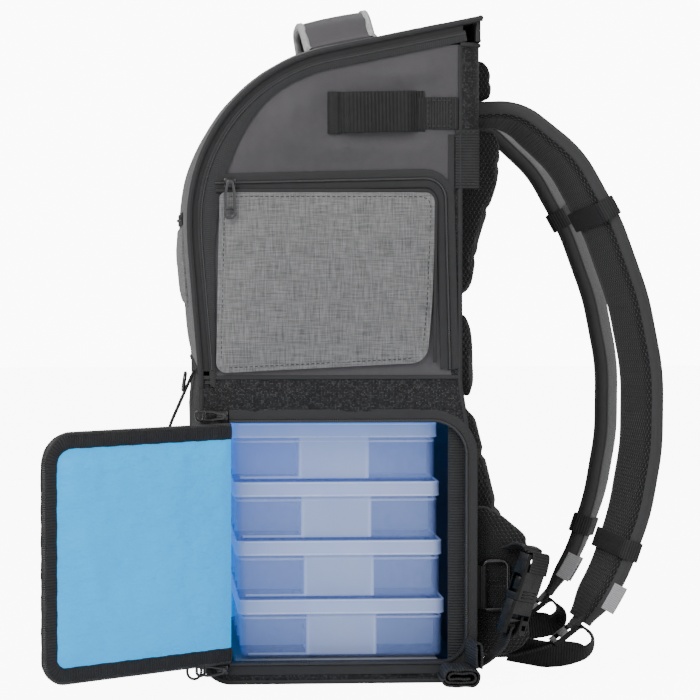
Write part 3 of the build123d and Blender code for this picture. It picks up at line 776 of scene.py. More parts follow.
def ease(value):
    value = min(1.0, max(0.0, value))
    return value * value * (3 - 2 * value)


def soften(bm, outward, bulge=0.0, reach=25.0, folds=None, fade=8.0, border=0.0):
    """Puff out the faces that look outward, and lay folds in them, with nothing at their edges."""
    bm.normal_update()
    outward = Vector(outward)
    outer = {f for f in bm.faces if f.normal.dot(outward) > 0.35}
    inside = [v for v in bm.verts if v.link_faces and all(f in outer for f in v.link_faces)]
    rim = [v for v in bm.verts if any(f in outer for f in v.link_faces) and not all(f in outer for f in v.link_faces)]
    tree = kdtree.KDTree(len(rim))
    for index, v in enumerate(rim):
        tree.insert(v.co, index)
    tree.balance()
    moves = []
    for v in inside:
        far = tree.find(v.co)[2] / MM
        height = bulge * math.sqrt(ease(far / reach)) + (
            folds(v.co / MM) * ease((far - border) / fade) if folds else 0.0
        )
        moves.append((v, v.normal * height * MM))
    for v, move in moves:
        v.co += move


def ridge(place, seed):
    """A noise with soft crests."""
    return 1.0 - 2.0 * abs(noise.noise(place + Vector((seed, seed * 1.7, 0.0))))


def hanging_folds(depth, seed, tall=90.0, wide=26.0):
    """Mostly upright folds, with a few creases across."""
    def height(co):
        upright = ridge(Vector((co.x / 60, co.y / wide, co.z / tall)), seed)
        small = noise.noise(Vector((co.x / 30, co.y / 11, co.z / 34)) + Vector((seed, 0, 0)))
        return depth * (0.75 * upright + 0.45 * small)
    return height


def bake(made):
    """Apply a piece's modifiers."""
    graph = bpy.context.evaluated_depsgraph_get()
    mesh = bpy.data.meshes.new_from_object(made.evaluated_get(graph))
    made.modifiers.clear()
    old, made.data = made.data, mesh
    bpy.data.meshes.remove(old)


def fill_pad(
    names, voxel=5.0, shrink=2.0, swell=None, channels=None, finishes=("mesh",), title="pad", body="bag",
    level=1
):
    """A padded piece: the solid is remeshed, swelled by pressure and then sewn down along its channels."""
    bm = node_copy(*names)
    bm.normal_update()
    mesh = bpy.data.meshes.new(title)
    bm.to_mesh(mesh)
    bm.free()
    made = bpy.data.objects.new(title, mesh)
    bpy.context.scene.collection.objects.link(made)
    remesh = made.modifiers.new("Even mesh", "REMESH")
    remesh.mode, remesh.voxel_size = "VOXEL", voxel * MM
    bake(made)
    mesh = made.data
    start = [v.co - v.normal * shrink * MM for v in mesh.vertices]
    for v, co in zip(mesh.vertices, start):
        v.co = co
    cloth = made.modifiers.new("Filling", "CLOTH")
    cloth.settings.use_pressure = True
    cloth.settings.uniform_pressure_force = sizes().pad_pressure
    cloth.settings.effector_weights.gravity = 0.0
    cloth.point_cache.frame_start, cloth.point_cache.frame_end = 1, 20
    for number in range(1, 21):
        bpy.context.scene.frame_set(number)
    done = made.evaluated_get(bpy.context.evaluated_depsgraph_get())
    moved = [v.co.copy() for v in done.data.vertices]
    made.modifiers.clear()
    bpy.context.scene.frame_set(1)
    cap = (sizes().pad_swell if swell is None else swell * MM)
    for v, before, after in zip(mesh.vertices, start, moved):
        move = after - before
        if move.length > cap:
            move *= cap / move.length
        v.co = before + move
    mesh.update()
    smooth = made.modifiers.new("Round", "SUBSURF")
    smooth.levels = smooth.render_levels = level
    bake(made)
    bm = bmesh.new()
    bm.from_mesh(made.data)
    bpy.data.objects.remove(made)
    bm.normal_update()
    if channels:
        for v in bm.verts:
            v.co -= v.normal * channels(v.co / MM, v.normal) * MM
    made = piece(title, bm, finishes, body, names, sharp=80)
    return made


def bevelled_copy(name, width, segments=2, angle=30.0):
    """A CAD node's shape with its sharp edges rounded."""
    bm = node_copy(name)
    bm.normal_update()
    edges = [e for e in bm.edges if len(e.link_faces) == 2 and e.calc_face_angle(0.0) > math.radians(angle)]
    bmesh.ops.bevel(bm, geom=edges, offset=width * MM, offset_type="OFFSET", segments=segments, profile=0.5,
                    affect="EDGES", clamp_overlap=True, material=-1)
    return bm


def patch(outline, x, step, thickness):
    """A flat piece of cloth from its outline in (y, z)."""
    bm = bmesh.new()
    bm.faces.new([bm.verts.new(vec(x, y, z)) for y, z in outline])
    cut(bm, 1, step)
    cut(bm, 2, step)
    bmesh.ops.solidify(bm, geom=bm.faces[:], thickness=thickness * MM)
    bmesh.ops.recalc_face_normals(bm, faces=bm.faces)
    return bm


def block(bm, low, high, bevel=0.8, material=0, segments=2):
    """A block with rounded edges between two corners."""
    low, high = Vector(low), Vector(high)
    size, middle = (high - low) * MM, (high + low) * MM / 2
    verts = bmesh.ops.create_cube(
        bm, size=1.0, matrix=Matrix.Translation(middle) @ Matrix.Diagonal((*size, 1))
    )["verts"]
    edges = list({e for v in verts for e in v.link_edges})
    made = bmesh.ops.bevel(bm, geom=edges, offset=bevel * MM, offset_type="OFFSET", segments=segments, profile=0.5,
                           affect="EDGES", clamp_overlap=True, material=-1)
    faces = set(made["faces"]) | {f for v in made["verts"] for f in v.link_faces}
    for f in faces:
        f.material_index = material
    return faces


def coil(bm, line, face, radius=1.5, closed=False, material=0):
    """A zipper's coil: a round line whose every other step is thinner."""
    sweep(bm, line, round_section(radius, 6), face=face, closed=closed, material=material,
          scale=lambda j, share: (1.0, 1.0) if j % 2 else (0.74, 0.8))


def door_line(inset, step=4.0, close=True):
    """The closed door's outline, without its hinge side unless closed."""
    low, top, rear = DOOR_Z[0] + inset, DOOR_Z[1] - inset, DOOR_Y[1] - inset
    radii = [max(0.5, radius - inset) for radius in DOOR_RADII]
    points = [(DOOR_Y[0] + 1, low), (rear, low), (rear, top), (DOOR_Y[0] + 1, top)]
    return rounded(points, [1, *radii, 1] if close else radii, step, close)


def top_height(y):
    return 474.5 + (y + 110.5) * math.tan(TOP_SLOPE)


# ---- Body ----
def build_shell():
    for side, sign in SIDES:
        lower = node_copy(f"side_panel_{side}_lower")
        cut(lower, 1, 6)
        cut(lower, 2, 6)
        seed = 3.0 * sign

        def slant(co, seed=seed):
            slope = ridge(Vector((co.x / 60, (co.y + 0.8 * co.z) / 30, (co.z - co.y) / 90)), seed)
            return 1.1 * slope + 0.5 * noise.noise(Vector((seed, co.y / 12, co.z / 16)))
        soften(lower, (sign, 0, 0), 0.8, 16, slant)
        piece(f"lower_side_{side}", lower, ["coarse"], "bag", [f"side_panel_{side}_lower"])

        upper = node_copy(f"side_panel_{side}_upper")
        cut(upper, 1, 5)
        cut(upper, 2, 5)
        folds = hanging_folds(sizes().fold_depth / MM, 11.0 * sign)

        def above_pocket(co, folds=folds):
            clear = ease((co.z - 402) / 22) if co.y < 98 else 0.5
            near_band = 0.35 if -6 < co.y < 100 and 424 < co.z < 470 else 1.0
            return (folds(co) + 1.6) * clear * near_band
        soften(upper, (sign, 0, 0), 0.0, 20, above_pocket, fade=24, border=9)
        for place, way in ((vec(0, 95, 0), (0, 1, 0)), (vec(0, 0, 428), (0, 0, 1))):
            bmesh.ops.bisect_plane(
                upper, geom=upper.verts[:] + upper.edges[:] + upper.faces[:], dist=1e-6, plane_co=place,
                plane_no=way
            )
        for f in upper.faces:
            middle = f.calc_center_median() / MM
            f.material_index = 1 if middle.y > 95 and middle.z < 428 else 0
        piece(f"upper_side_{side}", upper, ["nylon", "coarse"], "bag", [f"side_panel_{side}_upper"])

        seams = bmesh.new()
        sweep(
            seams, at_x(rounded([(95, 246), (95, 430)], [], 5), sign * 150.4), flat_section(5, 1.2),
            face=(sign, 0, 0)
        )
        sweep(
            seams, at_x(rounded([(-99, 240.5), (103, 240.5)], [], 5), sign * 150.4), flat_section(3.2, 1.4),
            face=(sign, 0, 0)
        )
        piece(f"side_seams_{side}", seams, ["tape"], "bag")

    piping = bmesh.new()
    corners, radii = inset_line(
        [(-102, 238), (-102, 0), (112, 0), (112, 185), (104, 235), (104, 499)][::-1], [60, -60, 22, 25], 2.0
    )
    for _, sign in SIDES:
        sweep(piping, at_x(rounded(corners, radii, 3.0), sign * 149.8), round_section(1.9, 8), face=(sign, 0, 0))
    piece("body_piping", piping, ["tape"], "bag")
    gusset = bmesh.new()
    for _, sign in SIDES:
        turns = [math.radians(6 * k - 4) for k in range(17)]
        line = [vec(sign * (134 + 16.2 * math.cos(t)), 103 + 14.5 * math.sin(t), 464.5) for t in turns]
        sweep(gusset, line, flat_section(73, 1.6, parts=12), across=(0, 0, 1))
        line = [vec(sign * (134 + 16.8 * math.cos(t)), 103 + 15.2 * math.sin(t), 500.2) for t in turns]
        sweep(gusset, line, round_section(1.8, 8), face=(0, 0, 1), material=1)
    piece("neck_gusset", gusset, ["coarse", "tape"], "bag")

    front = node_copy("front_panel_lower")
    cut(front, 0, 8)
    cut(front, 2, 8)
    soften(front, (0, -1, 0), 3.0, 40, lambda co: 1.0 * ridge(Vector((co.x / 50, co.z / 60, 0)), 5.0), fade=16)
    piece("lower_front", front, ["coarse"], "bag", ["front_panel_lower"])

    back = node_copy("back_panel")
    cut(back, 0, 8)
    cut(back, 2, 8)
    soften(back, (0, 1, 0), 0.0, 30, lambda co: 0.6 * ridge(Vector((co.x / 40, co.z / 50, 0)), 8.0), fade=12)
    piece("back_cloth", back, ["coarse"], "bag", ["back_panel"])
    piece("base_cloth", node_copy("base_panel"), ["coarse"], "bag", ["base_panel"])

    lid = node_copy("lid_shell")
    cut(lid, 0, 8)
    cut(lid, 2, 8, high=480)
    cut(lid, 1, 8, low=-80)
    soften(
        lid, (0, -0.7, 0.7), 2.6, 35, lambda co: 0.9 * ridge(Vector((co.x / 45, co.y / 40, co.z / 60)), 2.0),
        fade=14
    )
    for f in lid.faces:
        f.material_index = 1 if abs(f.normal.x) > 0.8 else 0
    piece("clamshell_lid", lid, ["nylon", "tape"], "lid", ["lid_shell"])

    edges = bmesh.new()
    for _, sign in SIDES:
        corners, radii = inset_line(EDGE_LINE, EDGE_RADII, 1.3)
        sweep(edges, at_x(rounded(corners, radii, 3.0), sign * 150.6), round_section(2.3, 8), face=(sign, 0, 0))
    across = [vec(x, 118.0, 521.0) for x in range(-150, 151, 6)]
    sweep(edges, across, round_section(2.3, 8), face=(0, 1, 0))
    across = [vec(x, 117.2, 503.5) for x in range(-148, 149, 6)]
    sweep(edges, across, round_section(1.8, 8), face=(0, 1, 0))
    across = [vec(x, -102.6, 246.5) for x in range(-148, 149, 6)]
    sweep(edges, across, round_section(2.0, 8), face=(0, -1, 0))
    piece("lid_piping", edges, ["tape"], "lid")

    tape = node_copy("main_zip_tape")
    for _, sign in SIDES:
        corners, radii = inset_line(EDGE_LINE[:-1], EDGE_RADII[:-1], 8.6)
        line = at_x(rounded(corners, radii, 3.0), sign * 151.2)
        section = [(-sign * (a + 0.42), b) for a, b in flat_section(1.0, 1.4, parts=4)]
        section = section if sign < 0 else section[::-1]
        sweep(tape, line, section, face=(sign, 0, 0), scale=lambda j, share: (band_width(share), 1.0))
    piece("clamshell_zip_tape", tape, ["tape"], "bag", ["main_zip_tape"])
    teeth = bmesh.new()
    for _, sign in SIDES:
        corners, radii = inset_line(EDGE_LINE[:-1], EDGE_RADII[:-1], 10.2)
        line = [point for point in rounded(corners, radii, 0.9) if point.y > 246]
        coil(teeth, at_x(line, sign * 151.4), (sign, 0, 0), 1.3)
    piece("clamshell_coil", teeth, ["teeth"], "bag")


def band_width(share):
    """How far the zipper band reaches in from the lid's lip, along its line from the foot to the top's rear."""
    return 4.5 + 8.0 * ease(share / 0.33) + 4.0 * ease((share - 0.25) / 0.12) - 8.0 * ease((share - 0.45) / 0.2)


def build_inside():
    """Boards and foam inside the cloth, and the compartment's lining."""
    for name, key in (("base_board", "board"), ("back_stiffener", "board"), ("compartment_floor", "board")):
        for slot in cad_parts[name].material_slots:
            slot.material = finish_named(key)
    for name in ("base_foam", "front_foam"):
        piece(f"{name}_block", bevelled_copy(name, 1.5, 3), ["foam"], "bag", [name])
    lining = node_copy("box_lining")
    for f in lining.faces:
        f.material_index = 1 if f.calc_center_median().y > 0.09 else 0
    piece("compartment_lining", lining, ["satin", "tape"], "bag", ["box_lining"])
    rim = node_copy("door_rim")
    cut(rim, 1, 5)
    cut(rim, 2, 5)
    soften(rim, (1, 0, 0), 1.0, 8, lambda co: 1.5 * noise.noise(Vector((0, co.y / 14, co.z / 9))), fade=6)
    piece("compartment_rim", rim, ["webbing"], "bag", ["door_rim"])

    ring = bmesh.new()
    tape = [point for point in door_line(-5.2, 3.0, close=False)]
    sweep(ring, at_x(tape, 150.9), flat_section(9.6, 1.2), face=(1, 0, 0))
    piece("opening_zip_tape", ring, ["tape"], "bag", ["door_zip_tape"])
    teeth = bmesh.new()
    coil(teeth, at_x(door_line(-1.2, 0.85, close=False), 151.3), (1, 0, 0), 1.7)
    piece("opening_coil", teeth, ["teeth"], "bag")


# ---- Door ----
def build_door():
    panel = patch(door_line(5.0), 148.6, 7, 1.2)
    soften(panel, (1, 0, 0), 3.0, 30, lambda co: 0.8 * ridge(Vector((0, co.y / 40, co.z / 60)), 4.0))
    lay_and_turn(panel)
    piece("door_cloth", panel, ["coarse"], "door", ["door_panel"])

    lining = patch(door_line(12.0), 147.2, 4, 0.8)

    def wrinkles(co):
        broad = ridge(Vector((0.0, co.y / 34, co.z / 90)), 6.0)
        sharp = ridge(Vector((0.0, (co.y - 0.5 * co.z) / 22, (co.z + co.y) / 80)), 9.0)
        return 2.3 * broad + 1.5 * sharp + 0.5 * noise.noise(Vector((0, co.y / 9, co.z / 14)))
    soften(lining, (-1, 0, 0), 5.0, 45, wrinkles, fade=12)
    lay_and_turn(lining)
    piece("door_satin", lining, ["satin"], "door", ["door_lining"])

    border = bmesh.new()
    line = at_x(door_line(7.2, 2.5, close=False), 149.0)
    sweep(border, line, flat_section(13.6, 6.4, 0.8), face=(1, 0, 0),
          lift=lambda j, share: 0.25 * math.sin(j * 0.7) + 0.15 * math.sin(j * 1.9))
    lay_and_turn(border)
    piece("door_border", border, ["webbing"], "door", ["door_binding"])

    teeth = bmesh.new()
    coil(teeth, at_x(door_line(1.6, 0.85, close=False), 147.2), (1, 0, 0), 1.9)
    lay_and_turn(teeth)
    piece("door_coil", teeth, ["teeth"], "door")

    fold = bmesh.new()
    line = [
        vec(x, y, 111) for x,
        y in rounded([(141, -80.6), (150.5, -80.2), (156.8, -80.6), (163.8, -88.4)], [4, 5], 1.5)
    ]
    sweep(fold, line, flat_section(176, 0.8), across=(0, 0, 1), material=0)
    line = [
        vec(x, y, 111) for x,
        y in rounded([(151.9, -89), (151.9, -81.6), (153.0, -81.2), (158.6, -88.4)], [0.5, 0.5], 1.2)
    ]
    sweep(fold, line, flat_section(180, 0.9), across=(0, 0, 1), material=1)
    made = piece("door_hinge_fold", fold, ["satin", "tape"], None)
    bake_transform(made)


def lay_and_turn(bm):
    """Lay the cloth coordinates on the closed door, then open it."""
    bm.normal_update()
    lay_uv(bm)
    laid = bm.faces.layers.int.get("laid") or bm.faces.layers.int.new("laid")
    for f in bm.faces:
        f[laid] = 1
    bm.transform(DOOR_TURN)


# ---- Zipper sliders and pulls ----
def slider(bm, turn):
    """A slider's two plates, its bridge and its arched loop, on the origin, moving along Y."""
    start = set(bm.verts)
    block(bm, (0.0, -4.6, -3.5), (1.5, 4.6, 3.5), 0.6)
    block(bm, (1.4, -3.6, -2.6), (2.8, 3.8, 2.6), 0.8, segments=3)
    arch = [
        Vector((x, y, 0)) * MM for y,
        x in rounded([(-3.6, 2.2), (-3.6, 5.6), (3.6, 5.6), (3.6, 2.2)], [1.8, 1.8], 0.8)
    ]
    sweep(bm, arch, flat_section(2.4, 1.2, parts=3), across=(0, 0, 1))
    for v in set(bm.verts) - start:
        v.co = turn @ v.co


def pull(bm, length, turn):
    """A pull hanging from the origin: a long slot above and a round eye below."""
    start = set(bm.verts)
    low = -(length - 6.0)
    frame_line = rounded(
        [(-1.6, 1.0), (1.6, 1.0), (3.4, -8), (3.4, low), (-3.4, low), (-3.4, -8)], [0.8, 0.8, 4, 1.0, 1.0, 4],
        1.2, True
    )
    sweep(bm, at_x(frame_line, 0), flat_section(2.3, 1.7, parts=3), face=(1, 0, 0), closed=True)
    eye = rounded(
        [(-3.5, low + 0.4), (3.5, low + 0.4), (3.5, low - 6.0), (-3.5, low - 6.0)], [1.5, 3.2, 3.2, 1.5], 0.9,
        True
    )
    sweep(bm, at_x(eye, 0), flat_section(2.4, 1.7, parts=3), face=(1, 0, 0), closed=True)
    for v in set(bm.verts) - start:
        v.co = turn @ v.co


def build_zippers():
    for side, sign in SIDES:
        turned = Matrix.Diagonal((sign, 1, 1, 1))
        bm = bmesh.new()
        slider(bm, turned @ Matrix.Translation(vec(151.5, -78, 392)))
        piece(
            f"pocket_zip_slider_{side}", bm, ["enamel"], f"pocket_slider_{side}",
            [f"pocket_slider_{side}"]
        )
        bm = bmesh.new()
        pull(bm, 27, turned @ Matrix.Translation(vec(158.0, -78, 392)))
        piece(f"pocket_zip_pull_{side}", bm, ["gunmetal"], f"pocket_pull_{side}", [f"pocket_pull_{side}"])
    mirrored = Matrix.Diagonal((-1, 1, 1, 1))
    bm = bmesh.new()
    slider(bm, mirrored @ Matrix.Translation(vec(151.5, -95.3, 264)) @ Matrix.Rotation(math.pi / 2, 4, "X"))
    piece("clamshell_slider", bm, ["enamel"], "main_slider", ["main_slider"])
    bm = bmesh.new()
    pull(bm, 27, mirrored @ Matrix.Translation(vec(158.0, -95.3, 264)))
    piece("clamshell_pull", bm, ["gunmetal"], "main_pull", ["main_pull"])
    bm = bmesh.new()
    for z in (211, 12):
        slider(bm, Matrix.Translation(vec(151.5, -84.5, z)))
    piece("door_zip_sliders", bm, ["enamel"], "bag", ["door_sliders"])
    for name, z in (("top", 211), ("bottom", 12)):
        bm = bmesh.new()
        pull(bm, 20, Matrix.Translation(vec(158.0, -84.5, z)) @ Matrix.Rotation(math.radians(-90), 4, "X"))
        if name == "bottom":
            ring = [(5.5 * math.cos(math.pi * k / 12), 6.5 * math.sin(math.pi * k / 12)) for k in range(24)]
            sweep(
                bm, [vec(158.0 + 0.35 * b, -106.4 + a, z + 0.2 + b) for a, b in ring], round_section(1.1, 8),
                face=(1, 0, 0), closed=True
            )
        piece(f"door_zip_pull_{name}", bm, ["enamel"], f"door_pull_{name}", [f"door_pull_{name}"])


# ---- Pockets, bands and handle ----
def build_pockets():
    for side, sign in SIDES:
        bm = node_copy(f"pocket_panel_{side}")
        cut(bm, 1, 5)
        cut(bm, 2, 5)

        def soft(co, seed=21.0 * sign):
            return (
                1.1 * ridge(Vector((seed, co.y / 70, co.z / 45)), 1.0)
                + 0.4 * noise.noise(Vector((seed, co.y / 16, co.z / 13)))
            )
        soften(bm, (sign, 0, 0), 3.6, 40, soft, fade=14)
        piece(f"side_pocket_{side}", bm, ["pocket"], "bag", [f"pocket_panel_{side}"])
        seam = bmesh.new()
        outline = rounded([(-85, 248), (72, 255.5), (76, 300), (79, 381.5), (-82, 381.5)], [8, 14, 60, 8, 5], 3.0, True)
        stitches(seam, at_x(outline + outline[:1], sign * 153.5), (sign, 0, 0), 2.4, 1.6, 0.3)
        piece(f"pocket_stitching_{side}", seam, ["thread"], "bag")
        zip_line = [(-90, 392), (90, 396.2), (94, 247)]
        bm = bmesh.new()
        sweep(bm, at_x(rounded(zip_line, [16], 4), sign * 150.8), flat_section(14.5, 1.3), face=(sign, 0, 0))
        sweep(
            bm, at_x(rounded([(-89, 386.0), (83, 386.4), (82, 252)], [9], 4), sign * 152.6),
            flat_section(2.6, 2.2, parts=3), face=(sign, 0, 0)
        )
        piece(f"pocket_zip_tape_{side}", bm, ["tape"], "bag", ["pocket_zips"] if sign > 0 else [])
        bm = bmesh.new()
        coil(bm, at_x(rounded(zip_line, [16], 0.85), sign * 151.5), (sign, 0, 0), 1.5)
        piece(f"pocket_coil_{side}", bm, ["teeth"], "bag")
    front = node_copy("front_pocket")
    cut(front, 0, 7)
    cut(front, 2, 6)
    soften(front, (0, -1, 0), 2.4, 26, lambda co: 0.8 * ridge(Vector((co.x / 50, co.z / 30, 0)), 3.0), fade=10)
    piece("front_lid_pocket", front, ["pocket"], "lid", ["front_pocket"])
    bm = bmesh.new()
    line = [vec(x, -114.2, 364.5) for x in range(-114, 115, 4)]
    sweep(bm, line, flat_section(10, 1.2), face=(0, -1, 0))
    piece("front_pocket_tape", bm, ["tape"], "lid")
    bm = bmesh.new()
    coil(bm, [vec(-113 + 0.85 * k, -115.0, 364.5) for k in range(266)], (0, -1, 0), 1.3)
    piece("front_pocket_coil", bm, ["teeth"], "lid")


def build_bands():
    """Ribbed elastic rod bands, the flat webbing behind them and their stitching."""
    for side, sign in SIDES:
        bm = bmesh.new()
        line = rounded([(151.2, 0), (151.2, 6), (156.4, 13), (156.4, 61), (151.2, 68), (151.2, 74)], [5, 5, 5, 5], 0.7)
        sweep(bm, [vec(sign * x, y, 446.6 + 0.02 * y) for x, y in line], flat_section(32, 1.7, parts=5), across=(0, 0, 1),
              scale=lambda j, share: (1.0, 1.0 + 0.45 * math.cos(2 * math.pi * j * 0.7 / 2.85)))
        wrap = [
            vec(sign * x, y, 446.6) for x,
            y in rounded([(150.8, -1.5), (153.4, 1.0), (153.4, 6.5), (150.8, 8)], [1.5, 1.5], 0.8)
        ]
        sweep(bm, wrap, flat_section(33, 1.1, parts=5), across=(0, 0, 1))
        piece(f"rod_band_{side}", bm, ["elastic"], "bag", ["rod_bands"] if sign > 0 else [])
        bm = bmesh.new()
        line = [vec(sign * 151.2, y, 446.5) for y in range(62, 101, 2)]
        sweep(bm, line, flat_section(25, 1.8, parts=6), across=(0, 0, 1))
        flap = rounded([(107.5, 434), (107.5, 388)], [], 2.0)
        sweep(bm, [vec(sign * 150.6, y, z) for y, z in flap], flat_section(19, 1.8, parts=5), face=(sign, 0, 0))
        piece(f"side_webbing_{side}", bm, ["webbing"], "bag", ["side_webbing"] if sign > 0 else [])
        bm = bmesh.new()
        for y in (76.5, 94.5):
            stitches(bm, [vec(sign * 152.3, y, 436), vec(sign * 152.3, y, 457)], (sign, 0, 0))
        for z in (436.5, 456.5):
            stitches(bm, [vec(sign * 152.3, 77, z), vec(sign * 152.3, 94, z)], (sign, 0, 0))
        for z in (432, 391.5):
            stitches(bm, [vec(sign * 151.7, 100, z), vec(sign * 151.7, 115, z)], (sign, 0, 0))
        piece(f"side_stitching_{side}", bm, ["thread"], "bag")


def build_handle():
    turn = Matrix.Translation(vec(0, 15, top_height(15))) @ Matrix.Rotation(TOP_SLOPE, 4, "X")
    route = [(-78, 3.6), (-62, 3.6), (-46, 25), (0, 28.4), (46, 25), (62, 3.6), (78, 3.6)]
    line = [turn @ Vector((x * MM, 0, z * MM)) for x, z in rounded(route, [14, 18, 300, 18, 14], 3.0)]
    way = turn.to_3x3() @ Vector((0, 1, 0))
    bm = bmesh.new()
    sweep(bm, line, flat_section(54, 4.6, 1.0, 10), across=way, lift=lambda j, share: 0.5 * math.sin(j * 0.9))
    piece("grip_cloth", bm, ["nylon"], "lid", ["carry_handle"])
    bm = bmesh.new()
    for offset in (-26.5, 26.5):
        section = [(a * 0.8 + offset, b) for a, b in round_section(3.9, 10)]
        sweep(
            bm, line, section, across=way, scale=lambda j,
            share: (1.0, 1.0 + 0.14 * math.sin(j * 1.7) + 0.08 * math.sin(j * 4.1))
        )
    piece("grip_piping", bm, ["piping"], "lid")


def build_front_strap():
    bm = bmesh.new()
    line = [
        vec(0, y, z) for y,
        z in rounded([(-103.2, 240), (-107.8, 230), (-124.6, 192), (-128.8, 150)], [12, 60], 2.5)
    ]
    sweep(bm, line, flat_section(25, 2.0), across=(1, 0, 0))
    piece("lash_webbing", bm, ["webbing"], "bag", ["lash_strap"])
    bm = bmesh.new()
    loop = rounded([(-8, 0), (8, 0), (8, -14), (-8, -14)], [6, 6, 6, 6], 1.2, True)
    sweep(
        bm, [vec(x, -110.4 + 0.15 * z, 238.0 + z) for x, z in loop], round_section(1.5, 8), face=(0, -1, 0),
        closed=True
    )
    piece("lash_ring", bm, ["enamel"], "bag")


# ---- Tackle boxes ----
def build_box(number):
    low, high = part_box(f"tackle_box_{number}_tray")
    low, high = low / MM, high / MM
    body = f"tackle_box_{number}"
    tray = bmesh.new()
    size, middle = (high - low) * MM, (high + low) * MM / 2
    bmesh.ops.create_cube(tray, size=1.0, matrix=Matrix.Translation(middle) @ Matrix.Diagonal((*size, 1)))
    upright = [e for e in tray.edges if abs((e.verts[0].co - e.verts[1].co).z) > 0.01]
    bmesh.ops.bevel(
        tray, geom=upright, offset=6 * MM, offset_type="OFFSET", segments=5, profile=0.5, affect="EDGES",
        clamp_overlap=True, material=-1
    )
    bottom = [e for e in tray.edges if all(abs(v.co.z - low.z * MM) < 1e-6 for v in e.verts)]
    bmesh.ops.bevel(
        tray, geom=bottom, offset=3.5 * MM, offset_type="OFFSET", segments=3, profile=0.5, affect="EDGES",
        clamp_overlap=True, material=-1
    )
    bmesh.ops.delete(tray, geom=[f for f in tray.faces if f.normal.z > 0.9], context="FACES")
    bmesh.ops.solidify(tray, geom=tray.faces[:], thickness=1.2 * MM)
    third = (high.y - low.y) / 3
    for k in (1, 2):
        y = low.y + third * k
        block(tray, (low.x + 1.4, y - 0.7, low.z + 1.4), (high.x - 1.4, y + 0.7, high.z - 1.6), 0.3, 1, 1)
        block(tray, (high.x - 2.2, y - 1.3, low.z + 2.0), (high.x - 0.6, y + 1.3, high.z - 1.6), 0.5, 1)
    for k in range(3):
        for share in (0.27, 0.52, 0.76):
            x = low.x + (high.x - low.x) * (share + 0.03 * ((k + number) % 2))
            block(
                tray, (x - 0.6, low.y + third * k + 1.2, low.z + 1.4),
                (x + 0.6, low.y + third * (k + 1) - 1.2, high.z - 6), 0.3, 1, 1
            )
    edge = rounded(
        [
            (low.x + 0.7, low.y + 0.7), (high.x - 0.7, low.y + 0.7), (high.x - 0.7, high.y - 0.7),
            (low.x + 0.7, high.y - 0.7)
        ],
        [6] * 4, 8, True
    )
    sweep(
        tray, [vec(x, y, low.z + 31.0) for x, y in edge], flat_section(1.9, 1.4, parts=2), across=(0, 0, 1),
        closed=True, material=1
    )
    for k in (1, 2):
        place = vec(0, low.y + third * k, 0)
        ends = [f for f in tray.faces if f.normal.x > 0.9 and f.calc_center_median().x > (high.x - 0.2) * MM]
        geom = list({v for f in ends for v in f.verts}) + list({e for f in ends for e in f.edges}) + ends
        bmesh.ops.bisect_plane(tray, geom=geom, dist=1e-6, plane_co=place, plane_no=(0, 1, 0))
    tray.normal_update()
    for f in tray.faces:
        middle = f.calc_center_median() / MM
        if (f.material_index == 0 and abs(f.normal.x) > 0.9
                and middle.x > high.x - 0.2 and low.y + third < middle.y < high.y - third):
            f.material_index = 2
    piece(f"{body}_compartments", tray, ["clear", "rim", "frost"], body, [f"{body}_tray"])

    low, high = (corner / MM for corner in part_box(f"tackle_box_{number}_lid"))
    lid = bmesh.new()
    size, middle = (high - low) * MM, (high + low) * MM / 2
    bmesh.ops.create_cube(lid, size=1.0, matrix=Matrix.Translation(middle) @ Matrix.Diagonal((*size, 1)))
    upright = [e for e in lid.edges if abs((e.verts[0].co - e.verts[1].co).z) > 0.005]
    bmesh.ops.bevel(
        lid, geom=upright, offset=7 * MM, offset_type="OFFSET", segments=5, profile=0.5, affect="EDGES",
        clamp_overlap=True, material=-1
    )
    top = [e for e in lid.edges if all(abs(v.co.z - high.z * MM) < 1e-6 for v in e.verts)]
    bmesh.ops.bevel(
        lid, geom=top, offset=1.2 * MM, offset_type="OFFSET", segments=2, profile=0.5, affect="EDGES",
        clamp_overlap=True, material=-1
    )
    bmesh.ops.delete(lid, geom=[f for f in lid.faces if f.normal.z < -0.9], context="FACES")
    bmesh.ops.solidify(lid, geom=lid.faces[:], thickness=1.2 * MM)
    for height, thick in ((0.9, 1.6), (10.6, 1.4)):
        edge = rounded(
            [
                (low.x + 0.4, low.y + 0.4), (high.x - 0.4, low.y + 0.4), (high.x - 0.4, high.y - 0.4),
                (low.x + 0.4, high.y - 0.4)
            ],
            [7] * 4, 8, True
        )
        sweep(
            lid, [vec(x, y, low.z + height) for x, y in edge], flat_section(thick, 1.3, parts=2),
            across=(0, 0, 1), closed=True, material=1
        )
    for f in lid.faces:
        if f.material_index == 0 and abs(f.normal.z) < 0.5:
            f.material_index = 2
    piece(f"{body}_cover", lid, ["clear", "rim", "frost"], body, [f"{body}_lid"])


# ---- Back and harness ----
def build_back():
    def quilting(co, normal):
        if normal.y < 0.3:
            return 0.0
        lines = [abs(co.z - z) for z in (334, 372, 408)] + [abs(co.z - 474)]
        return 1.8 * max(0.0, 1 - min(lines) / 4.5)

    def lumbar(co, normal):
        if normal.y < 0.3:
            return 0.0
        lines = [abs(abs(co.x) - 36), abs(abs(co.x) - 98), abs(co.z - 46)]
        lines += [abs(co.z - z) for z in (90, 134, 176)] if abs(co.x) > 36 else []
        return 2.4 * max(0.0, 1 - min(lines) / 5.0)
    fill_pad(["back_pads"], 5.0, 1.6, channels=quilting, title="back_padding")
    fill_pad(["lumbar_pad"], 6.0, 1.6, channels=lumbar, title="lumbar_padding")


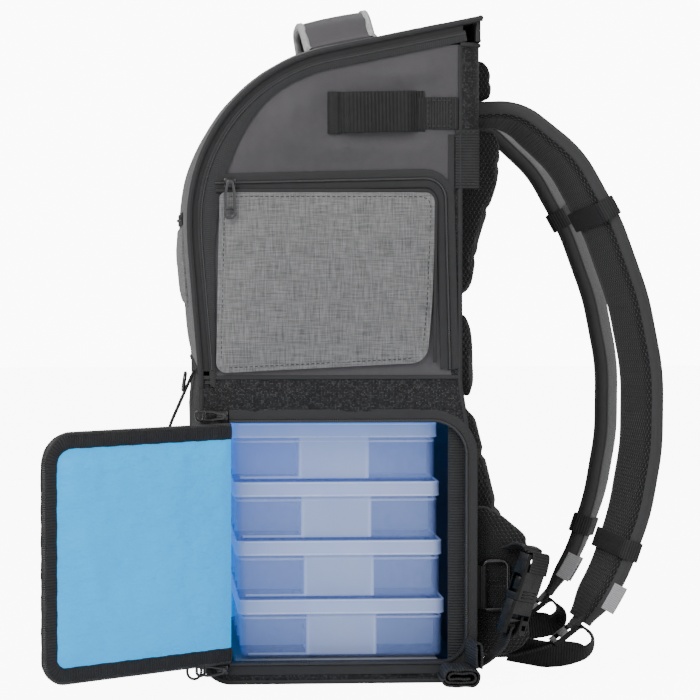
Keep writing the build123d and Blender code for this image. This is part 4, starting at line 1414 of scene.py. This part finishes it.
def strap_frames(sign):
    bm = bmesh.new()
    line = at_x(rounded(STRAP_LINE, STRAP_RADII, 4.0), sign * STRAP_X)
    frames = sweep(bm, line, flat_section(10, 2), across=(1, 0, 0), twist=strap_twist(sign))
    bm.free()
    return line, frames


def strap_twist(sign):
    return lambda share: -sign * (9 + 8 * ease(share / 0.25)) * (1 - 0.35 * ease((share - 0.75) / 0.25))


def along_strap(frames, low, high, out):
    first, last = (round(share * (len(frames) - 1)) for share in (low, high))
    return [origin + way * out * MM for origin, _, way, _ in frames[first:last + 1]]


def build_straps():
    for side, sign in SIDES:
        line, frames = strap_frames(sign)
        bm = bmesh.new()
        grow = lambda j, share: (
            0.8 + 0.2 * ease(share / 0.14) - 0.3 * ease((share - 0.93) / 0.07) ** 2,
            1.0 - 0.45 * ease((share - 0.94) / 0.06)
        )
        twist = strap_twist(sign)
        sweep(bm, line, flat_section(57, 11, 1.0, 12), across=(1, 0, 0), twist=twist, scale=grow, material=0)
        sweep(
            bm, line, [(a, b - 5.9) for a, b in flat_section(58, 1.6, 1.0, 10)], across=(1, 0, 0),
            twist=twist, scale=grow, material=1
        )
        for offset in (-28.4, 28.4):
            sweep(
                bm, line, [(a * 0.75 + offset, b * 1.5 - 1.0) for a, b in round_section(3.2, 8)],
                across=(1, 0, 0), twist=twist, scale=grow, material=1
            )
        made = piece(
            f"strap_padding_{side}", bm, ["mesh", "cover"], "bag", [f"shoulder_strap_{side}"],
            sharp=60
        )

        bm = bmesh.new()
        for share in (0.30, 0.86):
            origin, wide, out, _ = frames[round(share * (len(frames) - 1))]
            path = rounded([(-31.5, -8.4), (31.5, -8.4), (31.5, 7.6), (-31.5, 7.6)], [4.5] * 4, 3.0, True)
            loop = [origin + wide * a * MM + out * b * MM for a, b in path]
            sweep(bm, loop, flat_section(16, 1.5, parts=5), across=out.cross(wide), closed=True)
        piece(f"strap_keepers_{side}", bm, ["webbing"], "bag", ["strap_keepers"] if sign > 0 else [])

        bm = bmesh.new()
        tab = along_strap(frames, 0.925, 0.965, -8.6)
        wide = frames[round(0.94 * (len(frames) - 1))][1]
        sweep(bm, tab, flat_section(27, 1.8, parts=5), across=wide, material=0)
        for edge in (-30.6, 30.6):
            hem = [point + wide * edge * MM for point in along_strap(frames, 0.918, 0.958, -4.5)]
            sweep(bm, hem, flat_section(12, 1.6, parts=5), across=frames[-1][2], material=0)
        for offset in (-10.5, 10.5):
            row = [point + wide * offset * MM for point in along_strap(frames, 0.928, 0.962, -9.9)]
            stitches(bm, row, frames[-1][2] * -1, 2.0, 1.2, 0.3, 1)
        piece(f"strap_tab_{side}", bm, ["light", "thread"], "bag", ["strap_tabs"] if sign > 0 else [])

        bm = bmesh.new()
        x = sign * STRAP_X
        tongue = at_x(rounded([(224, 72), (208, 46), (197.5, 34.5)], [40], 3.0), x)
        sweep(bm, tongue, flat_section(46, 5.0, 0.6), across=(1, 0, 0), twist=lambda share: -sign * 9 * (1 - share),
              scale=lambda j, share: (1.0 - 0.42 * ease(share), 1.0 - 0.4 * share))
        piece(f"strap_tongue_{side}", bm, ["cover"], "bag")

        bm = bmesh.new()
        lead = at_x(rounded([(112.3, 14), (150, 14), (184.5, 22.5)], [60], 3.0), x)
        sweep(bm, lead, flat_section(25, 2.0, parts=6), across=(1, 0, 0))
        tail = at_x(
            rounded([(199, 34.5), (207, 37), (218, 27), (212, 15), (178, 13.4), (149, 19)], [4, 8, 9, 25], 2.5),
            x
        )
        sweep(
            bm, tail, flat_section(25, 2.0, parts=6), across=(1, 0, 0),
            twist=lambda share: sign * 64 * ease((share - 0.12) / 0.5)
        )
        piece(f"strap_webbing_{side}", bm, ["webbing"], "bag", ["harness_webbing"] if sign > 0 else [])
    piece("strap_adjusters", bevelled_copy("ladder_locks", 0.7, 3), ["plastic"], "bag", ["ladder_locks"])


# ---- Belt ----
BUCKLE = (
    Matrix.Translation(vec(158.0, 150.5, 70.5))
    @ Matrix.Rotation(math.radians(-17.9), 4, "X")
    @ Matrix.Rotation(math.radians(-40), 4, "Z")
)


def build_belt():
    def wing_edge(co, normal):
        return 1.8 * max(0.0, 1 - abs(co.z - (76 + 0.1 * (co.y - 130))) / 4.0) if co.x * normal.x > 0 and co.y > 124 else 0.0
    fill_pad(["hip_wings"], 4.0, 1.4, 4.0, wing_edge, title="hip_padding")

    bm = bmesh.new()
    for _, sign in SIDES:
        line = [vec(sign * x, y, 74) for x, y in rounded(
            [(135.2, 108), (135.6, 118), (139.0, 125.3), (142.6, 121.8), (140.2, 117), (137.8, 108)], [8, 2.6, 2.6, 8], 1.0)]
        sweep(bm, line, flat_section(34, 1.7, parts=8), across=(0, 0, 1))
    piece("belt_patch", bm, ["webbing"], "bag")
    bm = bmesh.new()
    loop = rounded([(122, 56), (141.5, 56), (141.5, 94.5), (122, 94.5)], [4.5] * 4, 1.2, True)
    sweep(bm, at_x(loop, 139), round_section(1.6, 12), face=(1, 0, 0), closed=True)
    piece("belt_wire_ring", bm, ["enamel"], "belt_ring", ["belt_ring"])

    female = bevelled_copy("buckle_female", 0.8, 3)
    ridges = bmesh.new()
    for z in (-2.5, 0.0, 2.5):
        for y in (-6.1, 6.1):
            block(ridges, (-9, y - 0.5, z - 0.7), (9, y + 0.5, z + 0.7), 0.4)
    ridges.transform(BUCKLE)
    join(female, ridges)
    piece("buckle_socket", female, ["plastic"], "bag", ["buckle_female"])
    piece(
        "buckle_plug_base", bevelled_copy("buckle_male", 0.7, 3), ["plastic"], "buckle_plug",
        ["buckle_male"]
    )
    for name in ("front", "rear"):
        piece(
            f"buckle_arm_{name}", bevelled_copy(f"buckle_prong_{name}", 0.8, 3), ["plastic"],
            f"buckle_prong_{name}", [f"buckle_prong_{name}"]
        )

    bm = bmesh.new()
    top = BUCKLE @ vec(0, 0, 30)
    root = vec(135, 146, 104)
    line = [root, root.lerp(top, 0.35) + vec(3, 2, 5), root.lerp(top, 0.8) + vec(2, 1, 6), top + vec(0, 0, 3.5)]
    side = BUCKLE.to_3x3() @ Vector((1, 0, 0))
    sweep(bm, smooth_through(line, 6), flat_section(25, 2.2, parts=6), across=side)
    down = BUCKLE @ vec(0, 7.2, 27)
    sweep(
        bm,
        smooth_through([top + vec(0, 0, 3.0), BUCKLE @ vec(0, 5.2, 34), down, BUCKLE @ vec(0, 8.0, 18)], 6),
        flat_section(25, 2.0, parts=6), across=side
    )
    piece("buckle_top_webbing", bm, ["webbing"], "bag")

    bm = bmesh.new()
    bar = BUCKLE @ vec(0, 0, -27)
    route = [
        vec(173, 112, 15), vec(170, 121, 20), vec(163, 133, 30), bar + vec(0, -4, -2.5),
        bar + vec(0, 1.5, -3.5), BUCKLE @ vec(0, 7.5, -22)
    ]
    sweep(bm, smooth_through(route, 6), flat_section(25, 2.0, parts=6), across=(0.93, 0.25, 0.2))
    lead = piece("buckle_lower_webbing", bm, ["webbing"], None)
    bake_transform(lead)

    bm = bmesh.new()
    spiral = [
        (84.8, 9), (84.8, 3.2), (113.2, 3.2), (113.2, 15.6), (86.2, 15.6), (86.2, 5.8), (110.6, 5.8),
        (110.6, 13), (89, 13), (89, 8.6), (106, 8.6)
    ]
    sweep(bm, [vec(173, y, z) for y, z in rounded(spiral, [5, 5.8, 5.8, 5, 4.4, 4.4, 3.6, 3.2, 2.0], 1.6)], flat_section(38, 1.9, parts=9), across=(1, 0, 0),
          lift=lambda j, share: 0.25 * math.sin(j * 0.8))
    fold = [(112.8, 16.5), (113.4, 26), (112.6, 35.4), (109.2, 35.4), (108.8, 26), (109.4, 16.5)]
    sweep(
        bm, [vec(173, y, z) for y, z in rounded(fold, [20, 1.6, 1.6, 20], 1.4)],
        flat_section(38, 1.7, parts=9), across=(1, 0.12, 0)
    )
    piece("belt_webbing_roll", bm, ["webbing"], "bag", ["belt_roll"])


def join(bm, other):
    """Add one bmesh to another."""
    mesh = bpy.data.meshes.new("join")
    other.to_mesh(mesh)
    other.free()
    bm.from_mesh(mesh)
    bpy.data.meshes.remove(mesh)


def smooth_through(points, parts):
    """A smooth line through a few places."""
    ends = [points[0] * 2 - points[1], *points, points[-1] * 2 - points[-2]]
    line = []
    for a, b, c, d in zip(ends, ends[1:], ends[2:], ends[3:]):
        for k in range(parts):
            t = k / parts
            line.append((
                b * 2 + (c - a) * t + (a * 2 - b * 5 + c * 4 - d) * t ** 2 + (b * 3 - a - c * 3 + d) * t ** 3
            ) / 2)
    return line + [points[-1]]


# ---- Stage ----
def build_stage():
    stage = bpy.context.scene.backpack_stage
    bm = bmesh.new()
    bmesh.ops.create_grid(bm, x_segments=8, y_segments=8, size=FLOOR_HALF_SIZE)
    mesh = bpy.data.meshes.new("floor")
    bm.to_mesh(mesh)
    bm.free()
    floor = bpy.data.objects.new("floor", mesh)
    bpy.context.scene.collection.objects.link(floor)
    f = Finish("pale floor", Emission_Color=(1.0, 1.0, 1.0))
    f.put(
        f.math("MULTIPLY", f.node("ShaderNodeLightPath").outputs["Is Camera Ray"], FLOOR_GLOW),
        f.shader.inputs["Emission Strength"]
    )
    soft = f.noise(f.place(), 3.0, 2.0)
    f.finish(f.mix(f.math("MULTIPLY", soft, 0.1), stage.floor, (0.8, 0.8, 0.8)), 0.6, soft, 0.0001, 0.1, 0.0)
    mesh.materials.append(f.material)

    world = bpy.data.worlds.new("soft room")
    world.use_nodes = True
    sky = Graph(world.node_tree)
    seen = sky.node("ShaderNodeLightPath").outputs["Is Camera Ray"]
    strength = sky.math("ADD", stage.sky, sky.math("MULTIPLY", seen, SKY_GLOW))
    sky.put((1.0, 1.0, 1.0), world.node_tree.nodes["Background"].inputs["Color"])
    sky.put(strength, world.node_tree.nodes["Background"].inputs["Strength"])
    bpy.context.scene.world = world
    for name, place, size, power in (
        ("key", (1.3, -1.1, 1.5), 1.2, stage.key),
        ("fill", (1.7, 1.3, 0.9), 1.4, stage.key * 0.3),
        ("top", (0.1, 0.0, 2.0), 1.2, stage.key * 0.22),
        ("back", (-1.5, 0.8, 1.4), 1.2, stage.key * 0.22),
    ):
        lamp = bpy.data.lights.new(name, "AREA")
        lamp.energy, lamp.size = power, size
        light = bpy.data.objects.new(name, lamp)
        light.location = place
        light.rotation_euler = (Vector(LIGHT_AIM) - Vector(place)).to_track_quat("-Z", "Y").to_euler()
        bpy.context.scene.collection.objects.link(light)
    lens = bpy.data.cameras.new("camera")
    lens.lens, lens.sensor_width = CAMERA_LENS, 36.0
    lens.clip_end = 50.0
    camera = bpy.data.objects.new("camera", lens)
    camera.location = CAMERA_PLACE
    aim = Vector(CAMERA_AIM) - camera.location
    camera.rotation_euler = aim.to_track_quat("-Z", "Y").to_euler()
    bpy.context.scene.collection.objects.link(camera)
    bpy.context.scene.camera = camera


# ---- Operators ----
class BACKPACK_OT_stage(bpy.types.Operator):
    """Add the floor, the soft light and the camera"""

    bl_idname = "backpack.stage"
    bl_label = "Stage"

    def execute(self, context):
        build_stage()
        return {"FINISHED"}


class BACKPACK_OT_shell(bpy.types.Operator):
    """Build the cloth body, the clamshell lid and its zipper"""

    bl_idname = "backpack.shell"
    bl_label = "Body and lid"

    def execute(self, context):
        build_shell()
        return {"FINISHED"}


class BACKPACK_OT_inside(bpy.types.Operator):
    """Finish the boards and foam, and line the box compartment"""

    bl_idname = "backpack.inside"
    bl_label = "Inside"

    def execute(self, context):
        build_inside()
        return {"FINISHED"}


class BACKPACK_OT_door(bpy.types.Operator):
    """Build the side door with its satin lining, border and coil"""

    bl_idname = "backpack.door"
    bl_label = "Side door"

    def execute(self, context):
        build_door()
        return {"FINISHED"}


class BACKPACK_OT_zippers(bpy.types.Operator):
    """Build every zipper slider and pull"""

    bl_idname = "backpack.zippers"
    bl_label = "Sliders and pulls"

    def execute(self, context):
        build_zippers()
        return {"FINISHED"}


class BACKPACK_OT_pockets(bpy.types.Operator):
    """Build the side pockets and the front pocket"""

    bl_idname = "backpack.pockets"
    bl_label = "Pockets"

    def execute(self, context):
        build_pockets()
        return {"FINISHED"}


class BACKPACK_OT_bands(bpy.types.Operator):
    """Build the rod bands, the side webbing and the front strap"""

    bl_idname = "backpack.bands"
    bl_label = "Bands and webbing"

    def execute(self, context):
        build_bands()
        build_front_strap()
        return {"FINISHED"}


class BACKPACK_OT_handle(bpy.types.Operator):
    """Build the carry handle on the lid"""

    bl_idname = "backpack.handle"
    bl_label = "Carry handle"

    def execute(self, context):
        build_handle()
        return {"FINISHED"}


class BACKPACK_OT_boxes(bpy.types.Operator):
    """Build the four clear tackle boxes"""

    bl_idname = "backpack.boxes"
    bl_label = "Tackle boxes"

    def execute(self, context):
        for number in range(1, BOX_COUNT + 1):
            build_box(number)
        return {"FINISHED"}


class BACKPACK_OT_back(bpy.types.Operator):
    """Fill the back and lumbar pads"""

    bl_idname = "backpack.back"
    bl_label = "Back pads"

    def execute(self, context):
        build_back()
        return {"FINISHED"}


class BACKPACK_OT_straps(bpy.types.Operator):
    """Build the shoulder straps and their webbing"""

    bl_idname = "backpack.straps"
    bl_label = "Shoulder straps"

    def execute(self, context):
        build_straps()
        return {"FINISHED"}


class BACKPACK_OT_belt(bpy.types.Operator):
    """Build the hip wings, ring, buckle and rolled belt webbing"""

    bl_idname = "backpack.belt"
    bl_label = "Hip belt"

    def execute(self, context):
        build_belt()
        return {"FINISHED"}


OPERATORS = (
    BACKPACK_OT_stage, BACKPACK_OT_shell, BACKPACK_OT_inside, BACKPACK_OT_door, BACKPACK_OT_zippers, BACKPACK_OT_pockets,
    BACKPACK_OT_bands, BACKPACK_OT_handle, BACKPACK_OT_boxes, BACKPACK_OT_back, BACKPACK_OT_straps, BACKPACK_OT_belt,
)
GROUPS = (("backpack_sizes", BackpackSizes), ("backpack_colours", BackpackColours), ("backpack_stage", BackpackStage))


class BACKPACK_PT_panel(bpy.types.Panel):
    """Settings and steps of the backpack"""

    bl_idname = "BACKPACK_PT_panel"
    bl_label = "Tackle Backpack"
    bl_space_type = "VIEW_3D"
    bl_region_type = "UI"
    bl_category = "Backpack"

    def draw(self, context):
        layout = self.layout
        for name, group in GROUPS:
            box = layout.box()
            for key in group.__annotations__:
                box.prop(getattr(context.scene, name), key)
        for step in OPERATORS:
            layout.operator(step.bl_idname)


def register():
    for _, group in GROUPS:
        bpy.utils.register_class(group)
    for name, group in GROUPS:
        setattr(bpy.types.Scene, name, bpy.props.PointerProperty(type=group))
    for made in (*OPERATORS, BACKPACK_PT_panel):
        bpy.utils.register_class(made)


def unregister():
    for made in (BACKPACK_PT_panel, *reversed(OPERATORS)):
        bpy.utils.unregister_class(made)
    for name, group in reversed(GROUPS):
        delattr(bpy.types.Scene, name)
        bpy.utils.unregister_class(group)


def main():
    register()
    for step in OPERATORS:
        area, action = step.bl_idname.split(".")
        getattr(getattr(bpy.ops, area), action)()
    bpy.context.view_layer.update()


if __name__ == "__main__":
    main()
